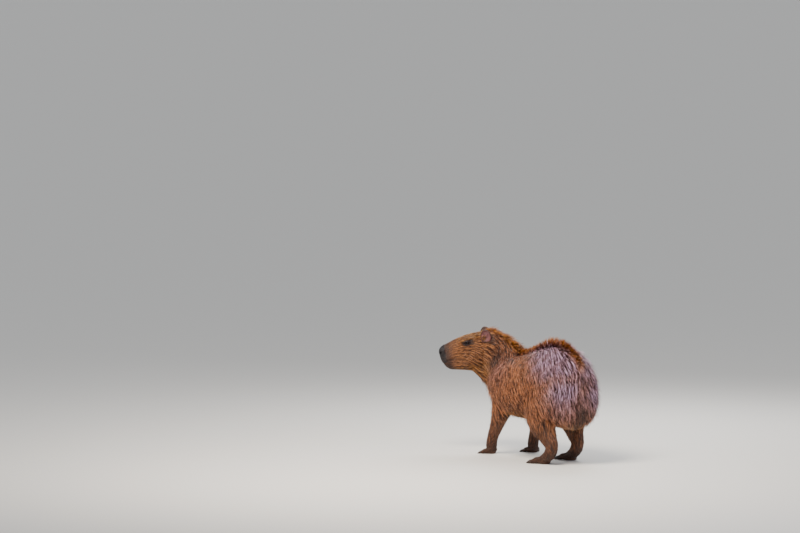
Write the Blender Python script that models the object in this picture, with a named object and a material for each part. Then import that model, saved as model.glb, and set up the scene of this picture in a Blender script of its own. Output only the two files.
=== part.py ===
"""A capybara, life size, standing with its head turned to its left.

Metres. +X is the way the trunk faces, +Y is the animal's left, +Z is up, and the floor is z = 0.
The whole animal is modelled as one closed body, dressed with the locks of its coarse coat,
and then parted into head, ears, neck, torso, rump, legs and feet with thin cuts.
"""

import math
import random

import bmesh
import bpy
import numpy as np
from mathutils import Matrix, Vector
from mathutils.bvhtree import BVHTree

# Driving sizes
GAP = 0.0003
WELD = 0.000004
HEAD_YAW = math.radians(60)
HEAD_PITCH = math.radians(17)
OCCIPUT = Vector((0.320, 0.055, 0.563))
VOXEL = 0.0048
BODY_TRIANGLES = 2700
HEAD_TRIANGLES = 1600

# Trunk stations, tail to chest: place along the trunk, sideways shift, top, bottom, half width
TRUNK = {
    "tail_root": (-0.388, 0.0, 0.372, 0.300, 0.030),
    "buttock": (-0.364, 0.0, 0.452, 0.198, 0.088),
    "pelvis": (-0.295, 0.0, 0.516, 0.165, 0.130),
    "hips": (-0.200, 0.0, 0.541, 0.172, 0.151),
    "loin": (-0.080, 0.0, 0.523, 0.184, 0.166),
    "belly": (0.040, 0.002, 0.490, 0.184, 0.170),
    "ribs": (0.140, 0.006, 0.480, 0.194, 0.154),
    "shoulder": (0.215, 0.010, 0.480, 0.214, 0.126),
    "chest": (0.268, 0.018, 0.462, 0.248, 0.094),
    "breast": (0.300, 0.024, 0.412, 0.296, 0.048),
}
TRUNK_ROUNDNESS = 2.15
TRUNK_TAPER = 0.10

# Neck stations: centre, half width, half depth
NECK = {
    "withers": ((0.150, 0.004, 0.376), 0.118, 0.112),
    "collar": ((0.234, 0.022, 0.414), 0.102, 0.112),
    "crop": ((0.285, 0.046, 0.452), 0.086, 0.106),
    "poll": ((0.326, 0.080, 0.484), 0.074, 0.092),
    "jowl": ((0.352, 0.116, 0.496), 0.066, 0.078),
}

# The fuller flesh under the neck, from the breast to between the jaws
THROAT = {
    "breast": ((0.268, 0.036, 0.322), 0.060, 0.044),
    "throat": ((0.320, 0.084, 0.379), 0.054, 0.040),
    "jaws": ((0.368, 0.146, 0.432), 0.046, 0.030),
}

# Head stations in the head's own frame, back to nose: place, top, bottom, half width, roundness
HEAD = {
    "nape": (-0.045, -0.020, -0.095, 0.040, 2.0),
    "occiput": (-0.015, 0.008, -0.120, 0.056, 2.1),
    "poll": (0.030, 0.024, -0.140, 0.064, 2.2),
    "jaw": (0.080, 0.031, -0.147, 0.066, 2.3),
    "eye": (0.135, 0.033, -0.142, 0.062, 2.4),
    "cheek": (0.180, 0.029, -0.128, 0.055, 2.5),
    "muzzle": (0.215, 0.0225, -0.116, 0.050, 2.7),
    "lips": (0.243, 0.016, -0.105, 0.047, 2.9),
    "nose": (0.260, 0.008, -0.087, 0.043, 2.9),
    "nose_front": (0.268, 0.000, -0.066, 0.036, 2.6),
    "nose_tip": (0.272, -0.011, -0.048, 0.023, 2.2),
}
HEAD_TAPER = 0.17


def smooth_between(stations, count):
    """Rows of numbers on a smooth curve through the stations, evenly spaced between each pair."""
    rows = np.array(stations, float)
    padded = np.vstack([2 * rows[0] - rows[1], rows, 2 * rows[-1] - rows[-2]])
    found = []
    for i in range(len(rows) - 1):
        before, here, there, after = padded[i : i + 4]
        for t in np.arange(count) / count:
            found.append(
                0.5
                * (
                    2 * here
                    + (there - before) * t
                    + (2 * before - 5 * here + 4 * there - after) * t**2
                    + (3 * here - before - 3 * there + after) * t**3
                )
            )
    found.append(rows[-1])
    return np.array(found)


def power(value, roundness):
    return math.copysign(abs(value) ** (2 / roundness), value)


def section(half_width, top, bottom, roundness, taper, sides):
    """Points (across, up) of one rounded section, narrower towards the top by the taper."""
    middle, half = (top + bottom) / 2, (top - bottom) / 2
    points = []
    for k in range(sides):
        angle = 2 * math.pi * k / sides
        up = power(math.sin(angle), roundness)
        across = half_width * (1 - taper * up) * power(math.cos(angle), roundness)
        points.append((across, middle + half * up))
    return points


def mesh_object(name, points, faces):
    mesh = bpy.data.meshes.new(name)
    mesh.from_pydata([tuple(p) for p in points], [], faces)
    bm = bmesh.new()
    bm.from_mesh(mesh)
    bmesh.ops.recalc_face_normals(bm, faces=bm.faces)
    bm.to_mesh(mesh)
    bm.free()
    found = bpy.data.objects.new(name, mesh)
    bpy.context.scene.collection.objects.link(found)
    return found


def loft(name, rings):
    """A closed body through rings of points, with a point in the middle of each end."""
    sides = len(rings[0])
    points = [p for ring in rings for p in ring]
    faces = []
    for i in range(len(rings) - 1):
        for k in range(sides):
            a, b = i * sides + k, i * sides + (k + 1) % sides
            faces.append((a, b, b + sides, a + sides))
    for ring, first in ((rings[0], 0), (rings[-1], (len(rings) - 1) * sides)):
        points.append(np.mean([tuple(p) for p in ring], axis=0))
        for k in range(sides):
            faces.append((first + k, first + (k + 1) % sides, len(points) - 1))
    return mesh_object(name, points, faces)


def limb(name, stations, across=(0, 1, 0), sides=16, steps=4):
    """A rounded limb along (centre, half width, half depth) stations, its width lying along across."""
    rows = smooth_between([(*c, w, d) for c, w, d in stations], steps)
    centres = [Vector(r[:3]) for r in rows]
    rings = []
    for i, row in enumerate(rows):
        ahead = centres[min(i + 1, len(rows) - 1)] - centres[max(i - 1, 0)]
        side = Vector(across) - Vector(across).project(ahead)
        side.normalize()
        depth = ahead.normalized().cross(side)
        rings.append(
            [
                centres[i]
                + side * row[3] * math.cos(2 * math.pi * k / sides)
                + depth * row[4] * math.sin(2 * math.pi * k / sides)
                for k in range(sides)
            ]
        )
    ends = [rings[0], rings[-1]]
    capped = []
    for ring, centre, away in (
        (ends[0], centres[0], centres[0] - centres[1]),
        (ends[1], centres[-1], centres[-1] - centres[-2]),
    ):
        reach = away.normalized() * min((ring[0] - centre).length, (ring[sides // 4] - centre).length)
        capped.append([centre + (p - centre) * 0.62 + reach * 0.62 for p in ring])
    return loft(name, [capped[0], *rings, capped[1]])


def ellipsoid(name, centre, radii, turn=None, segments=20):
    bm = bmesh.new()
    bmesh.ops.create_uvsphere(bm, u_segments=segments, v_segments=segments // 2, radius=1.0)
    place = Matrix.Translation(centre) @ (turn or Matrix.Identity(4)) @ Matrix.Diagonal((*radii, 1))
    bmesh.ops.transform(bm, matrix=place, verts=bm.verts)
    bmesh.ops.recalc_face_normals(bm, faces=bm.faces)
    mesh = bpy.data.meshes.new(name)
    bm.to_mesh(mesh)
    bm.free()
    found = bpy.data.objects.new(name, mesh)
    bpy.context.scene.collection.objects.link(found)
    return found


def head_matrix():
    """From the head's own frame (+X to the nose, +Y left, +Z up) to the world."""
    turn = Matrix.Rotation(HEAD_YAW, 4, "Z") @ Matrix.Rotation(HEAD_PITCH, 4, "Y")
    return Matrix.Translation(OCCIPUT) @ turn


def move(obj, matrix):
    obj.data.transform(matrix)
    return obj


def applied(obj):
    """Makes the object's modifiers part of its mesh."""
    bpy.context.view_layer.update()
    seen = obj.evaluated_get(bpy.context.evaluated_depsgraph_get())
    mesh = bpy.data.meshes.new_from_object(seen)
    obj.modifiers.clear()
    old = obj.data
    obj.data = mesh
    bpy.data.meshes.remove(old)
    return obj


def joined(name, objects):
    """One mesh that holds all these bodies, still crossing each other."""
    bm = bmesh.new()
    for obj in objects:
        bm.from_mesh(obj.data)
    mesh = bpy.data.meshes.new(name)
    bm.to_mesh(mesh)
    bm.free()
    for obj in objects:
        bpy.data.objects.remove(obj)
    found = bpy.data.objects.new(name, mesh)
    bpy.context.scene.collection.objects.link(found)
    return found


def make_trunk():
    rings = []
    for x, y, top, bottom, half in smooth_between(list(TRUNK.values()), 4):
        flat = section(half, top, bottom, TRUNK_ROUNDNESS, TRUNK_TAPER, 28)
        rings.append([Vector((x, y + across, up)) for across, up in flat])
    return loft("trunk", rings)


def make_neck():
    across = (-0.5, 0.86, 0)
    pieces = [limb("neck_form", list(NECK.values()), across, sides=22)]
    pieces.append(limb("throat_form", list(THROAT.values()), across, sides=18))
    return pieces


def make_head():
    rings = []
    for x, top, bottom, half, roundness in smooth_between(list(HEAD.values()), 4):
        flat = section(half, top, bottom, roundness, HEAD_TAPER, 28)
        rings.append([Vector((x, across, up)) for across, up in flat])
    pieces = [loft("skull", rings)]
    for side in (1, -1):
        pieces.append(ellipsoid("masseter", (0.082, side * 0.044, -0.078), (0.066, 0.030, 0.060)))
        pieces.append(ellipsoid("brow", (0.124, side * 0.038, 0.011), (0.036, 0.015, 0.011)))
        pieces.append(ellipsoid("cheekbone", (0.142, side * 0.043, -0.032), (0.044, 0.016, 0.014)))
        pieces.append(ellipsoid("nostril_pad", (0.252, side * 0.027, -0.014), (0.019, 0.019, 0.021)))
        pieces.append(ellipsoid("upper_lip", (0.228, side * 0.031, -0.050), (0.036, 0.021, 0.021)))
    return [move(piece, head_matrix()) for piece in pieces]


# Each leg: (centre, half width, half depth) from shoulder or hip down, then where its foot stands, toes and turn
LEGS = {
    "foreleg_left": {
        "stations": [
            ((0.168, 0.090, 0.370), 0.042, 0.085),
            ((0.138, 0.108, 0.262), 0.044, 0.066),
            ((0.178, 0.110, 0.165), 0.032, 0.040),
            ((0.232, 0.108, 0.082), 0.025, 0.028),
            ((0.248, 0.106, 0.034), 0.027, 0.025),
        ],
        "foot": ((0.248, 0.106), 4, math.radians(8)),
    },
    "foreleg_right": {
        "stations": [
            ((0.168, -0.082, 0.370), 0.042, 0.085),
            ((0.136, -0.100, 0.262), 0.044, 0.066),
            ((0.154, -0.098, 0.165), 0.032, 0.038),
            ((0.184, -0.093, 0.082), 0.025, 0.028),
            ((0.194, -0.092, 0.034), 0.027, 0.025),
        ],
        "foot": ((0.194, -0.092), 4, math.radians(-4)),
    },
    "hindleg_left": {
        "stations": [
            ((-0.262, 0.070, 0.410), 0.062, 0.100),
            ((-0.220, 0.094, 0.305), 0.066, 0.118),
            ((-0.196, 0.104, 0.212), 0.056, 0.092),
            ((-0.240, 0.100, 0.140), 0.038, 0.056),
            ((-0.278, 0.098, 0.088), 0.028, 0.036),
            ((-0.258, 0.098, 0.046), 0.029, 0.027),
            ((-0.222, 0.099, 0.027), 0.030, 0.020),
        ],
        "foot": ((-0.222, 0.099), 3, math.radians(6)),
    },
    "hindleg_right": {
        "stations": [
            ((-0.250, -0.070, 0.410), 0.062, 0.100),
            ((-0.200, -0.090, 0.305), 0.066, 0.116),
            ((-0.158, -0.094, 0.212), 0.056, 0.090),
            ((-0.190, -0.084, 0.140), 0.038, 0.054),
            ((-0.220, -0.080, 0.088), 0.028, 0.036),
            ((-0.198, -0.080, 0.046), 0.029, 0.027),
            ((-0.162, -0.081, 0.027), 0.030, 0.020),
        ],
        "foot": ((-0.162, -0.081), 3, math.radians(-8)),
    },
}
TOE_ANGLES = {4: (-0.62, -0.20, 0.20, 0.62), 3: (-0.42, 0.0, 0.42)}
TOE_REACH = {4: (0.030, 0.044, 0.042, 0.028), 3: (0.050, 0.066, 0.052)}
TOE_RADIUS = {4: 0.0105, 3: 0.0135}
CLAW_LENGTH = {4: 0.017, 3: 0.023}
PAD = {4: (0.008, 0.030, 0.027), 3: (0.014, 0.042, 0.030)}

# The face, in the head's own frame
EYE_AT = (0.1320, 0.0430, -0.003)
EYE_RADIUS = 0.0150
LID_LENGTH = 0.0190
LID_HEIGHT = 0.0104
LID_RADIUS = 0.0031
EAR_AT = (0.044, 0.056, -0.033)
EAR_HALF = (0.0250, 0.0105, 0.0365)
EAR_WALL = 0.0036
MOUTH_LINE = ((0.290, -0.0600), (0.242, -0.0640), (0.212, -0.0730), (0.196, -0.0820))
MOUTH_OPEN = 0.0018
LIP_DEPTH = 0.007

# The coat's locks: how many, how long and wide, and how far a tip stands off the body
LOCKS = 116
LOCKS_ABOVE = 0.180
LOCK_LENGTH = 0.140
LOCK_WIDTH = 0.080
LOCK_THICK = 0.0042
LOCK_LIFT = 0.011
CREST_LOCKS = 23
CREST_LENGTH = 0.060
CREST_WIDTH = 0.024


def toes(foot):
    """For each toe of a foot: where it starts, which way it points and how far it reaches."""
    (x, y), count, turn = foot
    side = Vector((-math.sin(turn), math.cos(turn), 0))
    for angle, reach in zip(TOE_ANGLES[count], TOE_REACH[count]):
        way = Vector((math.cos(turn + angle), math.sin(turn + angle), 0))
        yield Vector((x, y, 0)) + side * angle * TOE_RADIUS[count] * 3.2, way, reach


def make_pad(name, foot):
    """The sole's pad, which the floor cuts flat."""
    (x, y), count, turn = foot
    ahead, long, wide = PAD[count]
    centre = Vector((x + ahead * math.cos(turn), y + ahead * math.sin(turn), 0.009))
    return ellipsoid(name, centre, (long, wide, 0.016), Matrix.Rotation(turn, 4, "Z"), segments=18)


def make_toe(name, start, way, reach, radius):
    low, high = Vector((0, 0, radius * 0.58)), Vector((0, 0, radius * 1.9))
    stations = [
        (start - way * 0.012 + high, radius * 1.15, radius * 1.15),
        (start + way * reach * 0.5 + low * 0.4 + high * 0.6, radius * 1.05, radius * 1.05),
        (start + way * reach + low, radius * 0.96, radius * 0.96),
    ]
    return limb(name, stations, across=(-way.y, way.x, 0), sides=12, steps=3)


def make_claw(name, tip, way, length, radius):
    """A blunt hoof-like claw, ridged above and flat below, that droops to the floor."""
    side = Vector((-way.y, way.x, 0))
    rings = []
    for along, width, top, bottom in (
        (-0.55, 0.55, 1.30, 0.45),
        (0.10, 0.78, 1.35, 0.12),
        (0.65, 0.62, 0.85, 0.06),
        (1.00, 0.26, 0.36, 0.06),
    ):
        ring = []
        for across, up in ((-1, 0), (-0.7, 0.72), (0, 1), (0.7, 0.72), (1, 0)):
            height = (bottom + (top - bottom) * up) * radius
            place = tip + way * length * along + side * across * width * radius
            ring.append(Vector((place.x, place.y, height)))
        rings.append(ring)
    return loft(name, rings)


def make_flesh():
    """The whole animal under its coat, as one smooth closed mesh."""
    pieces = [make_trunk(), *make_neck(), *make_head()]
    for name, leg in LEGS.items():
        pieces.append(limb(f"{name}_form", leg["stations"], sides=18))
        pieces.append(make_pad(f"{name}_pad", leg["foot"]))
        for start, way, reach in toes(leg["foot"]):
            pieces.append(make_toe(f"{name}_toe", start, way, reach, TOE_RADIUS[leg["foot"][1]]))
    flesh = joined("flesh", pieces)
    remesh = flesh.modifiers.new("one skin", "REMESH")
    remesh.mode = "VOXEL"
    remesh.voxel_size = VOXEL
    smooth = flesh.modifiers.new("soften", "SMOOTH")
    smooth.factor = 0.5
    smooth.iterations = 8
    applied(flesh)
    into_head = head_matrix().inverted()
    fine = [v.index for v in flesh.data.vertices if (into_head @ v.co).x > 0.0 and (into_head @ v.co).z > -0.16]
    face = flesh.vertex_groups.new(name="face")
    face.add(fine, 1.0, "REPLACE")
    total = 2 * len(flesh.data.polygons)
    kept = HEAD_TRIANGLES + total - 2 * len(fine)
    for inside, ratio in ((True, kept / total), (False, (BODY_TRIANGLES + HEAD_TRIANGLES) / kept)):
        thin = flesh.modifiers.new("fewer faces", "DECIMATE")
        thin.vertex_group = "face"
        thin.invert_vertex_group = not inside
        thin.ratio = ratio
        applied(flesh)
    return flesh


def boolean(obj, other, operation, solver="MANIFOLD"):
    cut = obj.modifiers.new(operation.lower(), "BOOLEAN")
    cut.operation = operation
    cut.solver = solver
    cut.object = other
    applied(obj)
    bpy.data.objects.remove(other)
    return obj


def union_all(obj, others):
    """Joins many closed bodies to obj in one union."""
    group = bpy.data.collections.new("joining")
    bpy.context.scene.collection.children.link(group)
    for other in others:
        bpy.context.scene.collection.objects.unlink(other)
        group.objects.link(other)
    join = obj.modifiers.new("union", "BOOLEAN")
    join.operation = "UNION"
    join.operand_type = "COLLECTION"
    join.collection = group
    join.solver = "MANIFOLD"
    applied(obj)
    for other in list(group.objects):
        bpy.data.objects.remove(other)
    bpy.data.collections.remove(group)
    return obj


def welded(bm):
    """A copy with near points made one, less the faces that this lays flat or back to back."""
    kept = bmesh.ops.find_doubles(bm, verts=bm.verts, dist=WELD)["targetmap"]
    left = {}
    for face in bm.faces:
        corners = [kept.get(vert, vert) for vert in face.verts]
        key = frozenset(corner.index for corner in corners)
        if len(key) < 3:
            continue
        if key in left:
            del left[key]
        else:
            left[key] = corners
    clean = bmesh.new()
    points = {}
    for corners in left.values():
        for corner in corners:
            if corner.index not in points:
                points[corner.index] = clean.verts.new(corner.co)
        clean.faces.new([points[corner.index] for corner in corners])
    return clean


def open_touching_edges(bm):
    """Turns the edges that more than two faces share, where the surface touches itself."""
    for _ in range(6):
        touching = [edge for edge in bm.edges if len(edge.link_faces) > 2]
        if not touching:
            return
        for edge in touching:
            if not edge.is_valid or len(edge.link_faces) < 3:
                continue
            first, second = edge.verts
            sides = {True: [], False: []}
            for loop in edge.link_loops:
                third = loop.link_loop_next.link_loop_next.vert
                sides[loop.vert is first].append((loop.face, third))
            pairs = []
            for face, third in sides[True]:
                for other, fourth in sides[False]:
                    if third is fourth:
                        pairs.append((-1.0, face, third, other, fourth))
                    elif bm.edges.get((third, fourth)) is None:
                        reach = second.co - first.co
                        bulk = reach.dot((third.co - first.co).cross(fourth.co - first.co))
                        pairs.append((abs(bulk), face, third, other, fourth))
            if not pairs:
                continue
            bulk, face, third, other, fourth = min(pairs, key=lambda pair: pair[0])
            bmesh.ops.delete(bm, geom=[face, other], context="FACES_ONLY")
            if third is not fourth:
                bm.faces.new((first, fourth, third))
                bm.faces.new((fourth, second, third))
    loose = [edge for edge in bm.edges if not edge.link_faces]
    bmesh.ops.delete(bm, geom=loose, context="EDGES")


def keep_largest(obj):
    """Drops every closed surface but the one with the most faces, and leaves it as clean triangles."""
    bm = bmesh.new()
    bm.from_mesh(obj.data)
    unseen = set(bm.verts)
    islands = []
    while unseen:
        front = [unseen.pop()]
        island = set(front)
        while front:
            for edge in front.pop().link_edges:
                for vert in edge.verts:
                    if vert in unseen:
                        unseen.remove(vert)
                        island.add(vert)
                        front.append(vert)
        islands.append(island)
    largest = max(islands, key=len)
    loose = [v for island in islands if island is not largest for v in island]
    bmesh.ops.delete(bm, geom=loose, context="VERTS")
    needless = [v for v in bm.verts if len(v.link_edges) == 2]
    bmesh.ops.dissolve_verts(bm, verts=needless)
    bmesh.ops.triangulate(bm, faces=bm.faces, ngon_method="EAR_CLIP")
    bm.verts.index_update()
    clean = welded(bm)
    open_touching_edges(clean)
    clean.to_mesh(obj.data)
    clean.free()
    bm.free()
    return obj


def block(low, high, matrix=None, grow=0.0):
    """A box between two corners, in the frame of matrix."""
    bm = bmesh.new()
    bmesh.ops.create_cube(bm, size=1.0)
    low, high = Vector(low) - Vector((grow,) * 3), Vector(high) + Vector((grow,) * 3)
    place = Matrix.Translation((low + high) / 2) @ Matrix.Diagonal((*(high - low), 1))
    bmesh.ops.transform(bm, matrix=(matrix or Matrix.Identity(4)) @ place, verts=bm.verts)
    bmesh.ops.recalc_face_normals(bm, faces=bm.faces)
    mesh = bpy.data.meshes.new("block")
    bm.to_mesh(mesh)
    bm.free()
    found = bpy.data.objects.new("block", mesh)
    bpy.context.scene.collection.objects.link(found)
    return found


def prism(outline, near, far):
    """A closed plate: an outline of (x, z) points carried along Y from near to far."""
    count = len(outline)
    points = [(x, y, z) for y in (near, far) for x, z in outline]
    faces = [tuple(range(count)), tuple(range(2 * count - 1, count - 1, -1))]
    faces += [(k, (k + 1) % count, count + (k + 1) % count, count + k) for k in range(count)]
    return mesh_object("prism", points, faces)


def eye_centre(side):
    return Vector((EYE_AT[0], side * EYE_AT[1], EYE_AT[2]))


def almond(side, length, height, reach):
    """A ring of points round the eye, at a distance from its centre, pointed at both corners."""
    ring = []
    for k in range(16):
        angle = 2 * math.pi * k / 16
        along, up = length * math.cos(angle), height * power(math.sin(angle), 1.6)
        out = math.sqrt(max(reach**2 - along**2 - up**2, 0.25 * reach**2))
        ring.append(eye_centre(side) + Vector((along, side * out, up)))
    return ring


def make_lids(side):
    """The two lids as one soft rim round the eye's opening."""
    path = almond(side, LID_LENGTH, LID_HEIGHT, EYE_RADIUS + LID_RADIUS * 0.7)
    rim = []
    for i, point in enumerate(path):
        ahead = (path[(i + 1) % len(path)] - path[i - 1]).normalized()
        out = (point - eye_centre(side)).normalized()
        across = ahead.cross(out)
        turns = [2 * math.pi * k / 5 for k in range(5)]
        rim.append([point + (out * math.cos(a) + across * math.sin(a)) * LID_RADIUS for a in turns])
    points = [p for ring in rim for p in ring]
    faces = []
    for i in range(len(rim)):
        for k in range(5):
            a, b = i * 5, (i + 1) % len(rim) * 5
            faces.append((a + k, a + (k + 1) % 5, b + (k + 1) % 5, b + k))
    return move(mesh_object("lids", points, faces), head_matrix())


def open_eye(head, side):
    """Cuts the eyeball's socket and the opening between the lids."""
    socket = ellipsoid("socket", eye_centre(side), (EYE_RADIUS + GAP,) * 3, segments=16)
    boolean(head, move(socket, head_matrix()), "DIFFERENCE")
    near = almond(side, LID_LENGTH * 0.80, LID_HEIGHT * 0.66, EYE_RADIUS * 0.9)
    away = [p + (p - eye_centre(side)) * 1.4 for p in near]
    boolean(head, move(loft("opening", [near, away]), head_matrix()), "DIFFERENCE")


def make_eye(name, side):
    ball = ellipsoid(name, eye_centre(side), (EYE_RADIUS,) * 3, segments=16)
    return move(ball, head_matrix())


def open_mouth(head):
    """The line of the mouth: a slit round the muzzle that runs in as deep as the lips."""
    upper = [(x, z + MOUTH_OPEN / 2) for x, z in MOUTH_LINE]
    lower = [(x, z - MOUTH_OPEN / 2) for x, z in reversed(MOUTH_LINE)]
    slit = prism(upper + lower, -0.08, 0.08)
    rings = []
    for x, top, bottom, half, roundness in list(HEAD.values())[4:]:
        flat = section(half - LIP_DEPTH, top, bottom, roundness, HEAD_TAPER, 16)
        rings.append([Vector((x - LIP_DEPTH, across, up)) for across, up in flat])
    boolean(slit, loft("gums", rings), "DIFFERENCE")
    boolean(head, move(slit, head_matrix()), "DIFFERENCE")
    split = block((0.262, -0.0008, -0.0590), (0.290, 0.0008, -0.024), head_matrix())
    boolean(head, split, "DIFFERENCE")


def open_nostrils(head):
    for side in (1, -1):
        out = Matrix.Rotation(side * math.radians(48), 4, "Z")
        slant = Matrix.Rotation(side * math.radians(24), 4, "X")
        hole = ellipsoid("nostril", (0.261, side * 0.0365, -0.012), (0.012, 0.0085, 0.0036), out @ slant, 12)
        boolean(head, move(hole, head_matrix()), "DIFFERENCE")


def ear_matrix(side):
    """From the ear's own frame (+Z to its tip, +Y the way it opens) to the world."""
    lean = Matrix.Rotation(math.radians(-14), 4, "Y") @ Matrix.Rotation(math.radians(-side * 20), 4, "X")
    place = Matrix.Translation((EAR_AT[0], side * EAR_AT[1], EAR_AT[2]))
    face = Matrix.Rotation(side * math.radians(-12), 4, "Z")
    return head_matrix() @ place @ lean @ face


def make_ear(name, side, skull):
    """A small round cup that opens outwards, seated on the skull."""
    wide, thick, tall = EAR_HALF
    cup = ellipsoid(name, (0, 0, tall * 0.86), (wide, thick, tall), segments=16)
    hollow_radii = (wide - EAR_WALL, thick, tall - EAR_WALL * 1.4)
    hollow = ellipsoid("hollow", (0.001, side * thick * 0.62, tall * 0.96), hollow_radii, segments=16)
    boolean(cup, hollow, "DIFFERENCE")
    fold = ellipsoid("fold", (0.010, side * 0.001, tall * 0.52), (0.006, 0.0065, 0.014), segments=12)
    boolean(cup, fold, "UNION")
    move(cup, ear_matrix(side))
    grown = skull.copy()
    grown.data = skull.data.copy()
    bpy.context.scene.collection.objects.link(grown)
    off = grown.modifiers.new("gap", "DISPLACE")
    off.strength = GAP
    off.mid_level = 0
    applied(grown)
    boolean(cup, grown, "DIFFERENCE")
    return keep_largest(cup)


def flow(point, normal):
    """The way the coat runs at a point: back over the trunk, down the sides and legs, along the neck."""
    onto_neck = min(max((point.x - 0.17) / 0.10, 0), 1) * min(max((point.z - 0.26) / 0.10, 0), 1)
    back = Vector((-1, 0, 0)).lerp(Vector((-0.66, -0.42, -0.45)), onto_neck)
    down = 0.30 + 0.95 * (1 - abs(normal.z))
    if point.z < 0.27 and abs(point.y) > 0.07:
        down += (0.27 - point.z) * 14
    way = back - Vector((0, 0, down))
    way -= normal * way.dot(normal)
    return way.normalized()


def make_lock(name, tree, root, normal, length, width, lift, roll):
    """A flat, tapered lock that bends along the body to its tip, or None where the skin turns too sharply for it."""
    steps = 8
    place, rings = root.copy(), []
    shape = {0: 0.40, 2: 0.88, 5: 0.86, 8: 0.0}
    for step in range(steps + 1):
        along = step / steps
        way = flow(place, normal)
        across = normal.cross(way)
        if step in shape:
            height = -0.010 + (lift + 0.010) * along**0.5
            half = shape[step] * width / 2
            ring = []
            for offset, rise in ((half, 0), (0, LOCK_THICK), (-half, 0)):
                under, facing, _, _ = tree.find_nearest(place + across * offset)
                if facing.dot(normal) < 0.62:
                    return None
                ring.append(under + normal * (height + rise + roll * offset))
            rings.append(ring)
        place, facing, _, _ = tree.find_nearest(place + way * length / steps)
        normal = (normal + facing).normalized()
    tip = rings.pop()[1]
    points = [p for ring in rings for p in ring] + [tip]
    last = 3 * (len(rings) - 1)
    faces = [(0, 1, 2)]
    for i in range(len(rings) - 1):
        faces += [(3 * i + k, 3 * i + (k + 1) % 3, 3 * i + 3 + (k + 1) % 3, 3 * i + 3 + k) for k in range(3)]
    faces += [(last + k, last + (k + 1) % 3, len(points) - 1) for k in range(3)]
    return mesh_object(name, points, faces)


def coat_places(flesh, count, rng):
    """Points spread evenly over the neck, trunk and upper legs, none nearer than it must be."""
    mesh = flesh.data
    mesh.calc_loop_triangles()
    into_head = head_matrix().inverted()
    faces, areas = [], []
    for face in mesh.loop_triangles:
        centre = Vector(face.center)
        in_head = into_head @ centre
        if centre.z > LOCKS_ABOVE and not (in_head.x > 0.004 and in_head.z > -0.17):
            faces.append(face)
            areas.append(face.area)
    spacing = math.sqrt(sum(areas) / count) * 0.80
    places = []
    for face in rng.choices(faces, areas, k=count * 30):
        a, b, c = (mesh.vertices[v].co for v in face.vertices)
        u, v = sorted((rng.random(), rng.random()))
        point = a * u + b * (v - u) + c * (1 - v)
        if all((point - other).length > spacing for other, _ in places):
            places.append((point, Vector(face.normal)))
        if len(places) == count:
            break
    return places


def make_coat(flesh, tree):
    rng = random.Random(15)
    locks = []
    for i, (point, normal) in enumerate(coat_places(flesh, LOCKS, rng)):
        size = rng.uniform(0.88, 1.12)
        if point.z < 0.27 and abs(point.y) > 0.05:
            size *= 0.66
        lift, roll = LOCK_LIFT * size * rng.uniform(0.75, 1.25), rng.uniform(-0.14, 0.14)
        locks.append(make_lock(f"lock_{i}", tree, point, normal, LOCK_LENGTH * size, LOCK_WIDTH * size, lift, roll))
    return [lock for lock in locks if lock]


def crest_line(count):
    """Places along the middle of the back, from the nape to the top of the rump."""
    spine = [(-0.335, 0.0), (-0.10, 0.0), (0.10, 0.002), (0.22, 0.018), (0.285, 0.046), (0.318, 0.070)]
    rows = smooth_between(spine, 40)
    return [rows[round(i * (len(rows) - 1) / (count - 1))] for i in range(count)]


def make_crest(tree):
    """The bristling ridge of longer hair: locks that stand half up along the nape and back."""
    rng = random.Random(11)
    locks = []
    for i, (x, y) in enumerate(crest_line(CREST_LOCKS)):
        side = 1 if i % 2 else -1
        root, normal, _, _ = tree.ray_cast(Vector((x, y + side * 0.007, 1.0)), Vector((0, 0, -1)))
        way = flow(root, normal)
        across = normal.cross(way)
        nape = min(max((x - 0.0) / 0.10, 0), 1)
        rise = math.radians(rng.uniform(54, 66) - 26 * nape)
        length = CREST_LENGTH * rng.uniform(0.85, 1.08) * (1 - 0.22 * nape)
        rings = []
        for along, half in ((-0.14, 0.8), (0.35, 1.0), (0.72, 0.62)):
            bend = rise - along * 0.35
            centre = root + (way * math.cos(bend) + normal * math.sin(bend)) * along * length
            centre += across * side * 0.10 * along * length
            wide = across * half * CREST_WIDTH / 2
            thick = way.cross(across) * LOCK_THICK * half
            rings.append([centre + wide, centre - thick, centre - wide])
        bend = rise - 0.35
        tip = root + (way * math.cos(bend) + normal * math.sin(bend)) * length + across * side * 0.1 * length
        points = [p for ring in rings for p in ring] + [tip]
        faces = [(0, 1, 2)]
        for j in (0, 3):
            faces += [(j + k, j + (k + 1) % 3, j + 3 + (k + 1) % 3, j + 3 + k) for k in range(3)]
        faces += [(6 + k, 6 + (k + 1) % 3, 9) for k in range(3)]
        locks.append(mesh_object(f"crest_{i}", points, faces))
    return locks


def foot_region(name, grow):
    (x, y), count, _ = LEGS[name]["foot"]
    top = 0.060 if count == 4 else 0.058
    return block((x - 0.14, y - 0.075, -0.05), (x + 0.16, y + 0.075, top), grow=grow)


def leg_region(name, grow):
    """An arch-topped region at one side: the upper leg's round outline and all below it."""
    side = 1 if name.endswith("left") else -1
    fore = name.startswith("fore")
    middle = LEGS[name]["stations"][1][0][0] + (0.012 if fore else -0.004)
    half, spring = (0.078, 0.262) if fore else (0.128, 0.262)
    outline = [(middle - half - grow, -0.1), (middle + half + grow, -0.1)]
    if fore:
        outline = [(middle - half - grow, -0.1), (middle + half + 0.12, -0.1), (middle + half + 0.12, 0.14)]
    for k in range(13):
        angle = math.pi * k / 12
        outline.append((middle + (half + grow) * math.cos(angle), spring + (half + grow) * math.sin(angle)))
    near, far = sorted((side * (0.040 - grow), side * 0.30))
    return prism(outline, near, far)


def head_region(grow):
    return block((0.002, -0.25, -0.168), (0.40, 0.25, 0.25), head_matrix(), grow)


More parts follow.
